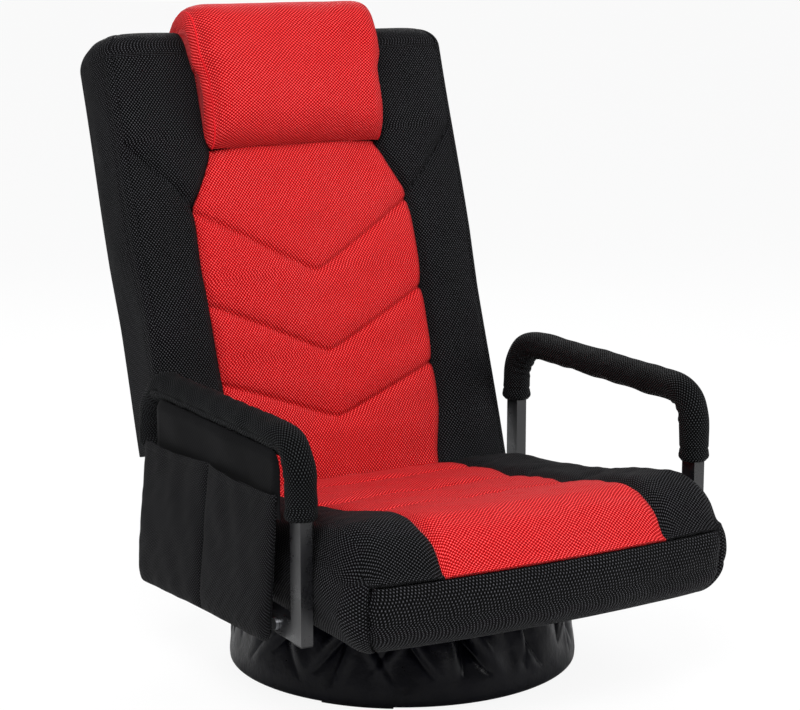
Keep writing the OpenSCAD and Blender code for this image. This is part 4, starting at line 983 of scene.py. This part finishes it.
def build_covers():
    low, high = (np.array(v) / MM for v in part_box("bottom_cover"))
    x, y = np.meshgrid(np.linspace(low[0], high[0], 61), np.linspace(low[1], high[1], 61))
    edge = np.minimum(np.minimum(x - low[0], high[0] - x), np.minimum(y - low[1], high[1] - y))
    taut = soft_noise(x, y, 101, 160, 130) * 0.9 * ease(edge, 0, 40)
    z = (low[2] + high[2]) / 2 + taut * ease(np.hypot(x, y), 60, 120)
    flat = np.stack([x, y, z], axis=2)[::-1]
    sheet_piece("bottom_cover_cloth", flat, MAT["under_cloth"], "seat", ["bottom_cover"],
                UNDER_T)
    u, v = np.meshgrid(np.linspace(-REAR_HALF, REAR_HALF, 81), np.linspace(REAR_V0, REAR_V1, 91))
    edge = np.minimum(REAR_HALF - np.abs(u), np.minimum(v - REAR_V0, REAR_V1 - v))
    pull = np.sin(v / 9.0 + np.sin(v / 37.0)) * np.exp(-(REAR_HALF - np.abs(u)) / 22.0)
    w = REAR_W + (soft_noise(u, v, 103, 170, 150) * 1.6 - 1.2) * ease(edge, 0, 45)
    w = w + 0.7 * pull * ease(edge, 0, 6)
    sheet_piece("rear_cover_cloth", back_point(u, w, v)[::-1], MAT["under_cloth"], "backrest",
                ["rear_cover"], UNDER_T)


# Room, light and camera, in metres and watts

FLOOR_SIZE = 60.0
CAMERA_AT, CAMERA_AIM = (-1.3655, -2.3481, 0.9327), (-0.00327, 0.0, 0.38385)
LENS, SENSOR, SHIFT_Y = 100.0, 36.0, 0.002
LIGHTS = (("key", (-1.6, -1.9, 2.6), (0, 0, 0.35), (1.6, 1.6), 112),
          ("fill", (2.2, -1.6, 1.5), (0, 0, 0.35), (1.4, 1.8), 40),
          ("rim", (0.8, 2.0, 1.9), (0, 0, 0.5), (1.6, 0.8), 30))


def build_floor():
    bpy.ops.mesh.primitive_plane_add(size=FLOOR_SIZE, location=(0, 0, 0))
    floor = bpy.context.object
    floor.name = "floor"
    n = Nodes("studio_floor")
    broad = n.noise(n.place(), 2.0)
    n.join(n.mix(n.ramp(broad, 0.2, 0.8), [0.86, 0.86, 0.86, 1], [0.88, 0.88, 0.88, 1]),
           n.shader.inputs["Base Color"])
    n.shader.inputs["Roughness"].default_value = 0.7
    glow = n.add("ShaderNodeEmission")
    glow.inputs["Strength"].default_value = 1.0
    blend = n.add("ShaderNodeMixShader")
    rays = n.add("ShaderNodeLightPath")
    n.join(n.math("MULTIPLY", rays.outputs["Is Camera Ray"], 0.9), blend.inputs[0])
    n.join(n.shader.outputs[0], blend.inputs[1])
    n.join(glow.outputs[0], blend.inputs[2])
    n.join(blend.outputs[0], n.tree.nodes["Material Output"].inputs["Surface"])
    floor.data.materials.append(n.mat)


def build_world():
    """Soft light, brighter overhead, that the camera sees as plain white."""
    world = bpy.data.worlds.new("studio")
    bpy.context.scene.world = world
    world.use_nodes = True
    tree = world.node_tree
    back = tree.nodes["Background"]
    back.inputs["Color"].default_value = (0.97, 0.98, 1.0, 1)
    way = tree.nodes.new("ShaderNodeSeparateXYZ")
    tree.links.new(tree.nodes.new("ShaderNodeTexCoord").outputs["Generated"], way.inputs[0])
    high = tree.nodes.new("ShaderNodeMapRange")
    tree.links.new(way.outputs["Z"], high.inputs["Value"])
    for key, number in (("From Min", 0.0), ("From Max", 0.9), ("To Min", 0.14), ("To Max", 0.75)):
        high.inputs[key].default_value = number
    tree.links.new(high.outputs["Result"], back.inputs["Strength"])
    white = tree.nodes.new("ShaderNodeBackground")
    white.inputs["Color"].default_value = (1, 1, 1, 1)
    white.inputs["Strength"].default_value = 1.0
    rays = tree.nodes.new("ShaderNodeLightPath")
    both = tree.nodes.new("ShaderNodeMixShader")
    tree.links.new(rays.outputs["Is Camera Ray"], both.inputs[0])
    tree.links.new(back.outputs[0], both.inputs[1])
    tree.links.new(white.outputs[0], both.inputs[2])
    tree.links.new(both.outputs[0], tree.nodes["World Output"].inputs["Surface"])


def add_light(name, place, aim, size, power):
    data = bpy.data.lights.new(name, "AREA")
    data.shape = "RECTANGLE"
    data.size, data.size_y = size
    data.energy = power
    obj = bpy.data.objects.new(name, data)
    obj.location = place
    obj.rotation_euler = (Vector(aim) - Vector(place)).to_track_quat("-Z", "Y").to_euler()
    bpy.context.scene.collection.objects.link(obj)


def build_camera():
    data = bpy.data.cameras.new("camera")
    data.lens = LENS
    data.sensor_width = SENSOR
    data.shift_y = SHIFT_Y
    obj = bpy.data.objects.new("camera", data)
    place, aim = Vector(CAMERA_AT), Vector(CAMERA_AIM)
    obj.location = place
    obj.rotation_euler = (aim - place).to_track_quat("-Z", "Y").to_euler()
    bpy.context.scene.collection.objects.link(obj)
    bpy.context.scene.camera = obj


def main():
    dress_cad()
    build_seat_tops()
    build_seat_body()
    build_side_gusset(1, "left", 35)
    build_side_gusset(-1, "right", 36)
    build_back_body()
    build_back_panel()
    build_headrest()
    build_sleeve(1, "left", 71)
    build_sleeve(-1, "right", 72)
    build_dust_cover()
    build_pocket()
    build_covers()
    build_floor()
    build_world()
    for light in LIGHTS:
        add_light(*light)
    build_camera()
    bpy.context.scene.view_settings.view_transform = "Standard"


main()
